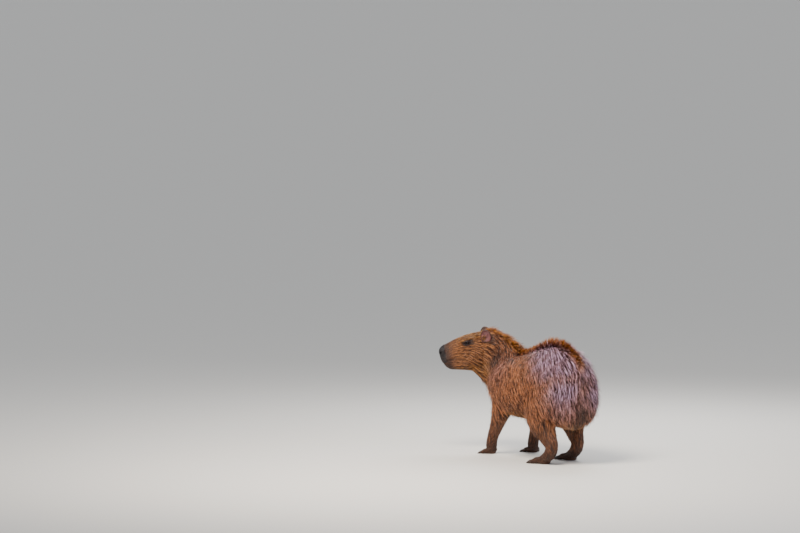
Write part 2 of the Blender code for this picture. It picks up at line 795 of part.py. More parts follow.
def neck_region(grow):
    """Everything in front of a slanting plane from the withers to the breast."""
    turn = Vector((0.80, 0.20, 0.57)).to_track_quat("X", "Z").to_matrix().to_4x4()
    return block((0, -0.4, -0.4), (0.5, 0.4, 0.4), Matrix.Translation((0.243, 0.014, 0.405)) @ turn, grow)


def rump_region(grow):
    return block((-0.7, -0.4, -0.1), (-0.115, 0.4, 0.8), grow=grow)


def part_off(whole, name, region):
    """Takes what lies in a region as a body of its own, a hair clear of the rest."""
    piece = whole.copy()
    piece.data = whole.data.copy()
    piece.name = name
    bpy.context.scene.collection.objects.link(piece)
    boolean(piece, region(0.0), "INTERSECT")
    boolean(whole, region(GAP), "DIFFERENCE")
    return keep_largest(piece)


def material(name, colour, roughness):
    found = bpy.data.materials.new(name)
    found.use_nodes = True
    shader = found.node_tree.nodes["Principled BSDF"]
    shader.inputs["Base Color"].default_value = (*colour, 1)
    shader.inputs["Roughness"].default_value = roughness
    return found


def centre_on_floor(objects):
    """Puts the origin on the floor under the middle of the whole animal's bounding box."""
    points = np.array([tuple(v.co) for obj in objects for v in obj.data.vertices])
    middle = (points.min(axis=0) + points.max(axis=0)) / 2
    for obj in objects:
        move(obj, Matrix.Translation((-middle[0], -middle[1], 0)))


def main():
    for obj in list(bpy.data.objects):
        bpy.data.objects.remove(obj)
    flesh = make_flesh()
    tree = BVHTree.FromObject(flesh, bpy.context.evaluated_depsgraph_get())
    ears = [make_ear(f"ear_{word}", side, flesh) for word, side in (("left", 1), ("right", -1))]
    added = [*make_coat(flesh, tree), *make_crest(tree), make_lids(1), make_lids(-1)]
    for name, leg in LEGS.items():
        count = leg["foot"][1]
        for start, way, reach in toes(leg["foot"]):
            tip = start + way * (reach + TOE_RADIUS[count] * 0.55)
            added.append(make_claw(f"{name}_claw", tip, way, CLAW_LENGTH[count], TOE_RADIUS[count]))
    whole = union_all(flesh, added)
    boolean(whole, block((-1, -1, -0.5), (1, 1, 0)), "DIFFERENCE")

    head = part_off(whole, "head", head_region)
    open_mouth(head)
    open_nostrils(head)
    for side in (1, -1):
        open_eye(head, side)
    keep_largest(head)
    eyes = [make_eye("eye_left", 1), make_eye("eye_right", -1)]
    feet = [part_off(whole, name.replace("leg", "foot"), lambda grow, n=name: foot_region(n, grow)) for name in LEGS]
    legs = [part_off(whole, name, lambda grow, n=name: leg_region(n, grow)) for name in LEGS]
    neck = part_off(whole, "neck", neck_region)
    rump = part_off(whole, "rump", rump_region)
    whole.name = "torso"
    keep_largest(whole)

    coat = material("coat", (0.30, 0.14, 0.06), 0.6)
    for obj in (head, neck, whole, rump, *legs, *feet):
        obj.data.materials.clear()
        obj.data.materials.append(coat)
    ear_skin = material("ear_skin", (0.25, 0.11, 0.10), 0.55)
    for ear in ears:
        ear.data.materials.clear()
        ear.data.materials.append(ear_skin)
    cornea = material("eye", (0.02, 0.012, 0.01), 0.08)
    for eye in eyes:
        eye.data.materials.append(cornea)
    centre_on_floor([*ears, *eyes, head, neck, whole, rump, *legs, *feet])


main()
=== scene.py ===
"""The looks of a life-size capybara, a still model that stands with its head turned to its left.

It is made as a mount is: the flesh under the coat, the eyes and lids, the ears, the claws,
the coat and its crest, the whiskers, and the studio round it. Metres and radians.
"""

import math

import bmesh
import bpy
import numpy as np
from mathutils import Matrix, Vector
from mathutils.bvhtree import BVHTree
from mathutils.kdtree import KDTree


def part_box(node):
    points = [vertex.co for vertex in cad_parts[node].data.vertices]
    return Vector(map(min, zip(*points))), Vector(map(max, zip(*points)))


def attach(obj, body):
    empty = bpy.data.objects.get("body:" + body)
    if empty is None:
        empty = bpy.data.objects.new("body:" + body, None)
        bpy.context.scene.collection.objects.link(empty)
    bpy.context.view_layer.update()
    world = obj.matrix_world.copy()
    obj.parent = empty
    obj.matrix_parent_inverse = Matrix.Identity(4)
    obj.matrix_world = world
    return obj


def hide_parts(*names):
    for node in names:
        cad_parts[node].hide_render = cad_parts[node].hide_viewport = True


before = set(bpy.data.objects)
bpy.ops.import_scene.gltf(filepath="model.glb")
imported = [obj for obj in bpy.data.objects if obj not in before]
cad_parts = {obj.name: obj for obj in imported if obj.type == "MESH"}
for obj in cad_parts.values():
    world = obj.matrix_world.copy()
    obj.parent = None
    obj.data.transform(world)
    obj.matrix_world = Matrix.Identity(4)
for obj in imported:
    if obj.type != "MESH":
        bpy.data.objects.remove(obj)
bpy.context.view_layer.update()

# The flesh. A stout barrel of a body, a deep blunt head and short legs, in one skin from nose to
# toes. It is lofted through the same stations as the solids, melted into one surface and drawn in
# by the depth of hair that it carries.
HEAD_YAW = math.radians(60)
HEAD_PITCH = math.radians(17)
OCCIPUT = Vector((0.320, 0.055, 0.563))
EYE_AT = Vector((0.1320, 0.0430, -0.003))
EYE_RADIUS = 0.0150
SKIN_VOXEL = 0.0026
BODY_FACES = 94000

# Place along the trunk, sideways shift, top, bottom, half width
TRUNK = {
    "tail_root": (-0.388, 0.0, 0.372, 0.300, 0.030),
    "buttock": (-0.364, 0.0, 0.452, 0.198, 0.088),
    "pelvis": (-0.295, 0.0, 0.516, 0.165, 0.130),
    "hips": (-0.200, 0.0, 0.541, 0.172, 0.151),
    "loin": (-0.080, 0.0, 0.523, 0.184, 0.166),
    "belly": (0.040, 0.002, 0.490, 0.184, 0.170),
    "ribs": (0.140, 0.006, 0.480, 0.194, 0.154),
    "shoulder": (0.215, 0.010, 0.480, 0.214, 0.126),
    "chest": (0.268, 0.018, 0.462, 0.248, 0.094),
    "breast": (0.300, 0.024, 0.412, 0.296, 0.048),
}

# Centre, half width, half depth
NECK = {
    "withers": ((0.150, 0.004, 0.376), 0.118, 0.112),
    "collar": ((0.234, 0.022, 0.414), 0.102, 0.112),
    "crop": ((0.285, 0.046, 0.452), 0.086, 0.106),
    "poll": ((0.326, 0.080, 0.484), 0.074, 0.092),
    "jowl": ((0.352, 0.116, 0.496), 0.060, 0.068),
}
THROAT = {
    "breast": ((0.268, 0.036, 0.322), 0.060, 0.044),
    "throat": ((0.320, 0.084, 0.379), 0.054, 0.040),
    "jaws": ((0.368, 0.146, 0.432), 0.046, 0.030),
}

# In the head's own frame, nose along +X: place, top, bottom, half width, roundness
HEAD = {
    "nape": (-0.045, -0.020, -0.095, 0.040, 2.0),
    "occiput": (-0.015, 0.008, -0.120, 0.056, 2.1),
    "poll": (0.030, 0.024, -0.140, 0.064, 2.2),
    "jaw": (0.080, 0.031, -0.147, 0.066, 2.3),
    "eye": (0.135, 0.033, -0.142, 0.062, 2.4),
    "cheek": (0.180, 0.029, -0.128, 0.055, 2.5),
    "muzzle": (0.215, 0.0225, -0.116, 0.050, 2.7),
    "lips": (0.243, 0.016, -0.105, 0.047, 2.9),
    "nose": (0.260, 0.008, -0.087, 0.043, 2.9),
    "nose_front": (0.268, 0.000, -0.066, 0.036, 2.6),
    "nose_tip": (0.272, -0.011, -0.048, 0.023, 2.2),
}
TRUNK_ROUNDNESS, TRUNK_TAPER, HEAD_TAPER = 2.15, 0.10, 0.17

# Muscle and bone that show on each side of the head: centre and radii
HEAD_MUSCLES = {
    "masseter": ((0.082, 0.044, -0.078), (0.066, 0.030, 0.060)),
    "brow": ((0.124, 0.038, 0.011), (0.036, 0.015, 0.011)),
    "cheekbone": ((0.142, 0.043, -0.032), (0.044, 0.016, 0.014)),
    "nostril_pad": ((0.252, 0.027, -0.014), (0.019, 0.019, 0.021)),
    "upper_lip": ((0.228, 0.031, -0.050), (0.036, 0.021, 0.021)),
}

# Small swells and dents of the face, the same on both sides: centre, radii, height
FACE_FORMS = {
    "lower_lid_bag": ((0.132, 0.060, -0.021), (0.026, 0.020, 0.0045), 0.0022),
    "crease_under_bag": ((0.134, 0.060, -0.0285), (0.028, 0.020, 0.0030), -0.0016),
    "tear_groove": ((0.158, 0.052, -0.010), (0.011, 0.015, 0.0036), -0.0022),
    "brow_fold": ((0.128, 0.052, 0.0145), (0.024, 0.016, 0.0032), 0.0018),
    "crease_over_lid": ((0.130, 0.054, 0.0105), (0.022, 0.016, 0.0022), -0.0012),
    "nostril_rim": ((0.258, 0.037, -0.0055), (0.013, 0.013, 0.0030), 0.0016),
    "nostril_floor": ((0.262, 0.034, -0.020), (0.012, 0.013, 0.0035), 0.0012),
    "whisker_pad": ((0.232, 0.046, -0.043), (0.022, 0.020, 0.015), 0.0026),
    "lip_groove": ((0.226, 0.047, -0.0590), (0.034, 0.020, 0.0030), -0.0014),
    "lower_lip": ((0.234, 0.042, -0.0690), (0.030, 0.024, 0.0040), 0.0016),
    "mouth_corner": ((0.192, 0.052, -0.0830), (0.009, 0.012, 0.0060), -0.0026),
    "jaw_muscle_edge": ((0.142, 0.058, -0.085), (0.006, 0.025, 0.040), -0.0018),
    "temple": ((0.090, 0.055, 0.000), (0.022, 0.016, 0.014), -0.0022),
}

# Stations as for the neck, from shoulder or hip down; then where the foot stands, its toes and its turn
LEGS = {
    "foreleg_left": {
        "stations": [
            ((0.168, 0.090, 0.370), 0.042, 0.085),
            ((0.138, 0.108, 0.262), 0.044, 0.066),
            ((0.178, 0.110, 0.165), 0.032, 0.040),
            ((0.232, 0.108, 0.082), 0.025, 0.028),
            ((0.248, 0.106, 0.034), 0.027, 0.025),
        ],
        "foot": ((0.248, 0.106), 4, math.radians(8)),
    },
    "foreleg_right": {
        "stations": [
            ((0.168, -0.082, 0.370), 0.042, 0.085),
            ((0.136, -0.100, 0.262), 0.044, 0.066),
            ((0.154, -0.098, 0.165), 0.032, 0.038),
            ((0.184, -0.093, 0.082), 0.025, 0.028),
            ((0.194, -0.092, 0.034), 0.027, 0.025),
        ],
        "foot": ((0.194, -0.092), 4, math.radians(-4)),
    },
    "hindleg_left": {
        "stations": [
            ((-0.262, 0.070, 0.410), 0.062, 0.100),
            ((-0.220, 0.094, 0.305), 0.066, 0.118),
            ((-0.196, 0.104, 0.212), 0.056, 0.092),
            ((-0.240, 0.100, 0.140), 0.038, 0.056),
            ((-0.278, 0.098, 0.088), 0.028, 0.036),
            ((-0.258, 0.098, 0.046), 0.029, 0.027),
            ((-0.222, 0.099, 0.027), 0.030, 0.020),
        ],
        "foot": ((-0.222, 0.099), 3, math.radians(6)),
    },
    "hindleg_right": {
        "stations": [
            ((-0.250, -0.070, 0.410), 0.062, 0.100),
            ((-0.200, -0.090, 0.305), 0.066, 0.116),
            ((-0.158, -0.094, 0.212), 0.056, 0.090),
            ((-0.190, -0.084, 0.140), 0.038, 0.054),
            ((-0.220, -0.080, 0.088), 0.028, 0.036),
            ((-0.198, -0.080, 0.046), 0.029, 0.027),
            ((-0.162, -0.081, 0.027), 0.030, 0.020),
        ],
        "foot": ((-0.162, -0.081), 3, math.radians(-8)),
    },
}
TOE_ANGLES = {4: (-0.62, -0.20, 0.20, 0.62), 3: (-0.42, 0.0, 0.42)}
TOE_REACH = {4: (0.030, 0.044, 0.042, 0.028), 3: (0.050, 0.066, 0.052)}
TOE_RADIUS = {4: 0.0105, 3: 0.0135}
PAD = {4: (0.008, 0.030, 0.027), 3: (0.014, 0.042, 0.030)}
WEB_REACH = 0.55
FLESH_PARTS = (
    "head", "neck", "torso", "rump",
    "foreleg_left", "foreleg_right", "hindleg_left", "hindleg_right",
    "forefoot_left", "forefoot_right", "hindfoot_left", "hindfoot_right",
)


def smooth_between(stations, count):
    """Rows of numbers on a smooth curve through the stations, evenly spaced between each pair."""
    rows = np.array(stations, float)
    padded = np.vstack([2 * rows[0] - rows[1], rows, 2 * rows[-1] - rows[-2]])
    found = []
    for i in range(len(rows) - 1):
        before, here, there, after = padded[i : i + 4]
        for t in np.arange(count) / count:
            square = 2 * before - 5 * here + 4 * there - after
            cube = 3 * here - before - 3 * there + after
            found.append(here + 0.5 * ((there - before) * t + square * t**2 + cube * t**3))
    found.append(rows[-1])
    return np.array(found)


def power(value, roundness):
    return math.copysign(abs(value) ** (2 / roundness), value)


def section(half_width, top, bottom, roundness, taper, sides):
    """Points (across, up) of one rounded section, narrower towards the top by the taper."""
    middle, half = (top + bottom) / 2, (top - bottom) / 2
    points = []
    for k in range(sides):
        angle = 2 * math.pi * k / sides
        up = power(math.sin(angle), roundness)
        across = half_width * (1 - taper * up) * power(math.cos(angle), roundness)
        points.append((across, middle + half * up))
    return points


def mesh_object(name, points, faces):
    mesh = bpy.data.meshes.new(name)
    mesh.from_pydata([tuple(p) for p in points], [], faces)
    bm = bmesh.new()
    bm.from_mesh(mesh)
    bmesh.ops.recalc_face_normals(bm, faces=bm.faces)
    bm.to_mesh(mesh)
    bm.free()
    made = bpy.data.objects.new(name, mesh)
    bpy.context.scene.collection.objects.link(made)
    return made


def loft(name, rings):
    """A closed body through rings of points, with a point in the middle of each end."""
    sides = len(rings[0])
    points = [p for ring in rings for p in ring]
    faces = []
    for i in range(len(rings) - 1):
        for k in range(sides):
            a, b = i * sides + k, i * sides + (k + 1) % sides
            faces.append((a, b, b + sides, a + sides))
    for ring, first in ((rings[0], 0), (rings[-1], (len(rings) - 1) * sides)):
        points.append(np.mean([tuple(p) for p in ring], axis=0))
        for k in range(sides):
            faces.append((first + k, first + (k + 1) % sides, len(points) - 1))
    return mesh_object(name, points, faces)


def limb(name, stations, across=(0, 1, 0), sides=28, steps=8):
    """A rounded limb along (centre, half width, half depth) stations, its width lying along across."""
    rows = smooth_between([(*c, w, d) for c, w, d in stations], steps)
    centres = [Vector(r[:3]) for r in rows]
    rings = []
    for i, row in enumerate(rows):
        ahead = centres[min(i + 1, len(rows) - 1)] - centres[max(i - 1, 0)]
        side = Vector(across) - Vector(across).project(ahead)
        side.normalize()
        depth = ahead.normalized().cross(side)
        turns = [2 * math.pi * k / sides for k in range(sides)]
        rings.append([centres[i] + side * row[3] * math.cos(a) + depth * row[4] * math.sin(a) for a in turns])
    capped = []
    for ring, centre, away in (
        (rings[0], centres[0], centres[0] - centres[1]),
        (rings[-1], centres[-1], centres[-1] - centres[-2]),
    ):
        reach = away.normalized() * min((ring[0] - centre).length, (ring[sides // 4] - centre).length)
        capped.append([centre + (p - centre) * 0.62 + reach * 0.62 for p in ring])
    return loft(name, [capped[0], *rings, capped[1]])


def ellipsoid(name, centre, radii, turn=None, segments=32):
    bm = bmesh.new()
    bmesh.ops.create_uvsphere(bm, u_segments=segments, v_segments=segments // 2, radius=1.0)
    place = Matrix.Translation(centre) @ (turn or Matrix.Identity(4)) @ Matrix.Diagonal((*radii, 1))
    bmesh.ops.transform(bm, matrix=place, verts=bm.verts)
    bmesh.ops.recalc_face_normals(bm, faces=bm.faces)
    mesh = bpy.data.meshes.new(name)
    bm.to_mesh(mesh)
    bm.free()
    made = bpy.data.objects.new(name, mesh)
    bpy.context.scene.collection.objects.link(made)
    return made


def mirrored(place, side):
    return Vector((place[0], side * place[1], place[2]))


def move(obj, matrix):
    obj.data.transform(matrix)
    return obj


def applied(obj):
    """Makes the object's modifiers part of its mesh."""
    bpy.context.view_layer.update()
    seen = obj.evaluated_get(bpy.context.evaluated_depsgraph_get())
    mesh = bpy.data.meshes.new_from_object(seen)
    obj.modifiers.clear()
    old = obj.data
    obj.data = mesh
    bpy.data.meshes.remove(old)
    return obj


def joined(name, objects):
    """One mesh that holds all these bodies."""
    bm = bmesh.new()
    for obj in objects:
        bm.from_mesh(obj.data)
    mesh = bpy.data.meshes.new(name)
    bm.to_mesh(mesh)
    bm.free()
    for obj in objects:
        bpy.data.objects.remove(obj)
    made = bpy.data.objects.new(name, mesh)
    bpy.context.scene.collection.objects.link(made)
    return made


def cut(obj, tool):
    """Takes the closed tool out of the object."""
    difference = obj.modifiers.new("cut", "BOOLEAN")
    difference.operation = "DIFFERENCE"
    difference.solver = "MANIFOLD"
    difference.object = tool
    applied(obj)
    bpy.data.objects.remove(tool)
    return obj


def ramp(value, low, high):
    """0 below low, 1 above high, and smooth between."""
    t = np.clip((value - low) / (high - low), 0, 1)
    return t * t * (3 - 2 * t)


def hump(points, centre, radii):
    """1 at the centre, falling smoothly to nothing over the radii."""
    return np.exp(-(((points - np.array(centre)) / np.array(radii)) ** 2).sum(axis=-1))


def toes(foot):
    """For each toe of a foot: where it starts, which way it points and how far it reaches."""
    (x, y), count, turn = foot
    side = Vector((-math.sin(turn), math.cos(turn), 0))
    for angle, reach in zip(TOE_ANGLES[count], TOE_REACH[count]):
        way = Vector((math.cos(turn + angle), math.sin(turn + angle), 0))
        yield Vector((x, y, 0)) + side * angle * TOE_RADIUS[count] * 3.2, way, reach


head_turn = Matrix.Rotation(HEAD_YAW, 4, "Z") @ Matrix.Rotation(HEAD_PITCH, 4, "Y")
head_frame = Matrix.Translation(OCCIPUT) @ head_turn
eye_low, eye_high = (Vector(corner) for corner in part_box("eye_left"))
set_down = Matrix.Translation((eye_low + eye_high) / 2 - head_frame @ EYE_AT)

forms = []
trunk_rings = []
for x, y, top, bottom, half in smooth_between(list(TRUNK.values()), 8):
    flat = section(half, top, bottom, TRUNK_ROUNDNESS, TRUNK_TAPER, 48)
    trunk_rings.append([Vector((x, y + across, up)) for across, up in flat])
forms.append(loft("trunk", trunk_rings))
forms.append(limb("neck_form", list(NECK.values()), (-0.5, 0.86, 0)))
forms.append(limb("throat_form", list(THROAT.values()), (-0.5, 0.86, 0)))

skull_rings = []
for x, top, bottom, half, roundness in smooth_between(list(HEAD.values()), 8):
    flat = section(half, top, bottom, roundness, HEAD_TAPER, 48)
    skull_rings.append([Vector((x, across, up)) for across, up in flat])
forms.append(move(loft("skull", skull_rings), head_frame))
for name, (centre, radii) in HEAD_MUSCLES.items():
    for side in (1, -1):
        forms.append(move(ellipsoid(name, mirrored(centre, side), radii), head_frame))

for name, leg in LEGS.items():
    (x, y), count, turn = leg["foot"]
    forms.append(limb(f"{name}_form", leg["stations"]))
    ahead, long, wide = PAD[count]
    pad_at = Vector((x + ahead * math.cos(turn), y + ahead * math.sin(turn), 0.009))
    forms.append(ellipsoid(f"{name}_pad", pad_at, (long, wide, 0.016), Matrix.Rotation(turn, 4, "Z")))
    radius = TOE_RADIUS[count]
    before = None
    for start, way, reach in toes(leg["foot"]):
        low, high = Vector((0, 0, radius * 0.58)), Vector((0, 0, radius * 1.9))
        knuckles = [
            (start - way * 0.012 + high, radius * 1.15, radius * 1.15),
            (start + way * reach * 0.34 + low * 0.3 + high * 0.7, radius * 0.98, radius * 1.02),
            (start + way * reach * 0.58 + low * 0.45 + high * 0.55, radius * 1.06, radius * 1.06),
            (start + way * reach * 0.80 + low * 0.75 + high * 0.25, radius * 0.94, radius * 0.94),
            (start + way * reach + low, radius * 0.97, radius * 0.96),
        ]
        forms.append(limb(f"{name}_toe", knuckles, across=(-way.y, way.x, 0), sides=16, steps=4))
        if before:
            middle = (start + way * reach * WEB_REACH + before) / 2 + low * 1.1
            wide = (start + way * reach * WEB_REACH - before).length / 2
            web_turn = Matrix.Rotation(math.atan2(way.y, way.x), 4, "Z")
            forms.append(ellipsoid(f"{name}_web", middle, (reach * 0.42, wide, 0.0045), web_turn))
        before = start + way * reach * WEB_REACH

skin = joined("skin", forms)
melt = skin.modifiers.new("one surface", "REMESH")
melt.mode = "VOXEL"
melt.voxel_size = SKIN_VOXEL
soften = skin.modifiers.new("soften", "SMOOTH")
soften.factor = 0.5
soften.iterations = 14
applied(skin)
bm = bmesh.new()
bm.from_mesh(skin.data)
newest = {max(bm.verts, key=lambda v: v.co.z)}
outer = set(newest)
while newest:
    newest = {edge.other_vert(v) for v in newest for edge in v.link_edges} - outer
    outer |= newest
bmesh.ops.delete(bm, geom=[v for v in bm.verts if v not in outer], context="VERTS")
bm.to_mesh(skin.data)
bm.free()


def read(mesh):
    """The mesh's points and outward directions as arrays, also seen from the head's frame."""
    count = len(mesh.vertices)
    points, normals = np.empty(count * 3), np.empty(count * 3)
    mesh.vertices.foreach_get("co", points)
    mesh.vertex_normals.foreach_get("vector", normals)
    points, normals = points.reshape(-1, 3), normals.reshape(-1, 3)
    return points, normals, seen_from_head(points)


def seen_from_head(points):
    back = np.array(head_frame.inverted())
    return points @ back[:3, :3].T + back[:3, 3]


def head_share(points, in_head):
    """1 on the head, 0 on the neck and body, and smooth at the nape and jaw angle."""
    near = ramp(points[:, 2], 0.30, 0.36) * (1 - ramp(np.abs(in_head[:, 1]), 0.082, 0.112))
    return near * ramp(in_head[:, 0], -0.005, 0.045) * ramp(in_head[:, 2], -0.20, -0.15)


def nose_share(in_head):
    """1 on the bare skin of the nose, 0 on hair: it ends behind the nostrils and over the lip."""
    edge = 0.2435 - 0.26 * np.clip(in_head[:, 2] + 0.012, 0, 1) + 0.10 * np.clip(-0.036 - in_head[:, 2], 0, 1)
    edge = edge + 0.0012 * np.sin(in_head[:, 1] * 900) * np.sin(in_head[:, 2] * 700)
    return ramp(in_head[:, 0], edge - 0.004, edge + 0.004) * ramp(in_head[:, 2], -0.0665, -0.0600)


points, normals, in_head = read(skin.data)
on_head, bare = head_share(points, in_head), nose_share(in_head)
depth = 0.0012 + 0.0014 * on_head * (1 - bare)
depth = depth * (1 - bare) * ramp(points[:, 2], 0.030, 0.110)
two_sided = np.stack([in_head[:, 0], np.abs(in_head[:, 1]), in_head[:, 2]], axis=1)
swell = sum(height * hump(two_sided, centre, radii) for centre, radii, height in FACE_FORMS.values())
fold_across = points @ np.array((0.80, 0.34, 0.50))
folds = np.sin(fold_across * 190 + 2.2 * np.sin(points[:, 2] * 22)) * 0.0016
on_neck = ramp(points[:, 0], 0.19, 0.25) * ramp(points[:, 2], 0.30, 0.38) * (1 - ramp(in_head[:, 0], -0.01, 0.05))
points = points + normals * (swell - depth + folds * on_neck * (1 - on_head))[:, None]
points[:, 2] = np.maximum(points[:, 2], 0.0)
in_head = seen_from_head(points)
off_eye = np.hypot(in_head[:, 0] - EYE_AT.x, in_head[:, 2] - EYE_AT.z)
lid_radius, turn_away = EYE_RADIUS + 0.0016, 0.0128
dome = np.sqrt(np.maximum(lid_radius**2 - off_eye**2, 0.0))
edge = math.sqrt(lid_radius**2 - turn_away**2)
dome = np.where(off_eye < turn_away, dome, edge - (off_eye - turn_away) * turn_away / edge) + EYE_AT.y
beside = np.abs(in_head[:, 1])
raised = (beside + dome + np.sqrt((beside - dome) ** 2 + 0.003**2)) / 2 - beside
raised = raised * (off_eye < 0.026) * (beside > 0.035) * ramp(0.026 - off_eye, 0, 0.004)
side_axis = np.array(head_turn.to_3x3() @ Vector((0, 1, 0)))
points = points + np.outer(raised * np.sign(in_head[:, 1]), side_axis)
skin.data.vertices.foreach_set("co", points.ravel())

is_face = in_head[:, 0] > 0.01
is_face &= (in_head[:, 2] > -0.17) & (np.abs(in_head[:, 1]) < 0.10)
is_fine = is_face | (points[:, 2] < 0.075)
face_group = skin.vertex_groups.new(name="fine")
face_group.add([int(i) for i in np.flatnonzero(is_fine)], 1.0, "REPLACE")
total = 2 * len(skin.data.polygons)
thin = skin.modifiers.new("fewer faces on the body", "DECIMATE")
thin.vertex_group = "fine"
thin.invert_vertex_group = True
thin.ratio = min(1, (total * is_fine.mean() + BODY_FACES) / total)
applied(skin)

# The mouth is a slit that goes as deep as the lips, the nostrils are slanting commas in the nose's
# sides, and each eye looks out of a pointed opening over its socket.
MOUTH_LINE = ((0.290, -0.0600), (0.242, -0.0640), (0.212, -0.0730), (0.196, -0.0820))
MOUTH_OPEN = 0.0016
LIP_DEPTH = 0.007
EYE_OPENING = (0.0142, 0.0070)
EYE_FLOOR = 0.0445
EYE_SLANT = math.radians(-9)


def almond(side, length, height, out, count=48):
    """A ring of points round the eye at a distance from the head's middle, pointed at both corners."""
    ring = []
    for k in range(count):
        angle = 2 * math.pi * k / count
        along, up = length * math.cos(angle), height * power(math.sin(angle), 1.6)
        up += 0.0006 * math.cos(angle)
        spin = math.cos(EYE_SLANT) * along + math.sin(EYE_SLANT) * up
        rise = math.cos(EYE_SLANT) * up - math.sin(EYE_SLANT) * along
        ring.append(Vector((EYE_AT.x + spin, side * out, EYE_AT.z + rise)))
    return ring


upper = [(x, z + MOUTH_OPEN / 2) for x, z in MOUTH_LINE]
lower = [(x, z - MOUTH_OPEN / 2) for x, z in reversed(MOUTH_LINE)]
near_side, far_side = ([Vector((x, y, z)) for x, z in upper + lower] for y in (-0.08, 0.08))
slit = loft("slit", [near_side, far_side])
gum_rings = []
for x, top, bottom, half, roundness in list(HEAD.values())[4:]:
    flat = section(half - LIP_DEPTH, top, bottom, roundness, HEAD_TAPER, 32)
    gum_rings.append([Vector((x - LIP_DEPTH, across, up)) for across, up in flat])
cut(slit, loft("gums", gum_rings))
cut(skin, move(slit, head_frame))
split = ellipsoid("split lip", (0.2705, 0, -0.0430), (0.0062, 0.0009, 0.0170))
cut(skin, move(split, head_frame))
for side in (1, -1):
    outward = Matrix.Rotation(side * math.radians(48), 4, "Z") @ Matrix.Rotation(side * math.radians(24), 4, "X")
    hole = ellipsoid("nostril", (0.261, side * 0.0365, -0.012), (0.012, 0.0085, 0.0036), outward)
    cut(skin, move(hole, head_frame))
    opening = [almond(side, *EYE_OPENING, EYE_FLOOR), almond(side, *EYE_OPENING, 0.080)]
    cut(skin, move(loft("opening", opening), head_frame))

# The lie of the coat, its markings and a painted sky reflection are kept on the skin, one value for each of its points.
# Skin and hair both read them, so they carry the same colours: russet over all, golden on brow, belly and
# crest, a painted lilac reflection of the sky where the wet back and rump face it, dusky on legs, muzzle and under the
# tail.
HEAD_AHEAD = np.array(head_turn.to_3x3() @ Vector((1, 0, 0)))
MIDLINE = ((-0.36, 0.0), (-0.10, 0.0), (0.10, 0.002), (0.22, 0.018), (0.285, 0.046), (0.335, 0.082))
CREST_HALF = 0.017


def spread(amount):
    return np.asarray(amount)[:, None]


def unit(vectors):
    return vectors / np.maximum(np.linalg.norm(vectors, axis=1), 1e-9)[:, None]


def lie_of_hair(points, normals, in_head):
    """From the midline out, back and down over the trunk, down the legs, and from the nose back over the face."""
    on_head = head_share(points, in_head)
    on_neck = ramp(points[:, 0], 0.16, 0.27) * ramp(points[:, 2], 0.28, 0.38)
    on_leg = 1 - ramp(points[:, 2], 0.16, 0.27)
    on_foot = 1 - ramp(points[:, 2], 0.030, 0.055)
    upward = ramp(normals[:, 2], 0.0, 0.9)
    under = 1 - ramp(normals[:, 2], -0.9, -0.3)
    rearward = ramp(-normals[:, 0], 0.35, 0.85)
    off_middle = np.tanh((points[:, 1] - np.interp(points[:, 0], *np.array(MIDLINE).T)) / 0.05)
    way = np.tile((-0.74, 0.0, -1.0), (len(points), 1))
    way[:, 0] += 0.54 * rearward
    way[:, 1] = 0.10 * off_middle
    way[:, 2] += 0.85 * under
    along_neck = np.array((-0.66, -0.40, -0.80)) + np.outer(0.15 * off_middle, (-0.45, 0.89, 0))
    way = way + spread(on_neck) * (along_neck - way)
    way = way + spread(on_leg) * (np.array((-0.22, 0.0, -1.0)) - way)
    way = way + spread(on_foot) * (np.array((1.0, 0.0, -0.45)) - way)
    back = np.outer(0.9 + 0.5 * upward, -HEAD_AHEAD)
    back[:, 2] -= 0.80 * (1 - upward) * ramp(0.20 - in_head[:, 0], -0.03, 0.10)
    way = way + spread(on_head) * (back - way)
    wave = 0.20 * np.sin(points @ np.array((31, 17, 23))) + 0.14 * np.sin(points @ np.array((-47, 39, 58)) + 1.3)
    across = np.cross(normals, way)
    way = way + across * spread(wave * (1 - 0.6 * on_head))
    way = unit(way)
    return way - normals * spread((way * normals).sum(axis=1))


def combed(mesh, way, normals, passes=90):
    """The lie smoothed along the skin, where it runs true to the surface before where it meets it end on."""
    ends = np.empty(len(mesh.edges) * 2, dtype=np.int32)
    mesh.edges.foreach_get("vertices", ends)
    one, other = ends.reshape(-1, 2).T
    shares = spread(1 + np.bincount(one, minlength=len(way)) + np.bincount(other, minlength=len(way)))
    way = way * spread(np.linalg.norm(way, axis=1) ** 3)
    for _ in range(passes):
        drawn = np.stack(
            [np.bincount(one, way[other, k], len(way)) + np.bincount(other, way[one, k], len(way)) for k in range(3)],
            axis=1,
        )
        way = (way + drawn) / shares
        way = way - normals * spread((way * normals).sum(axis=1))
    return unit(way)


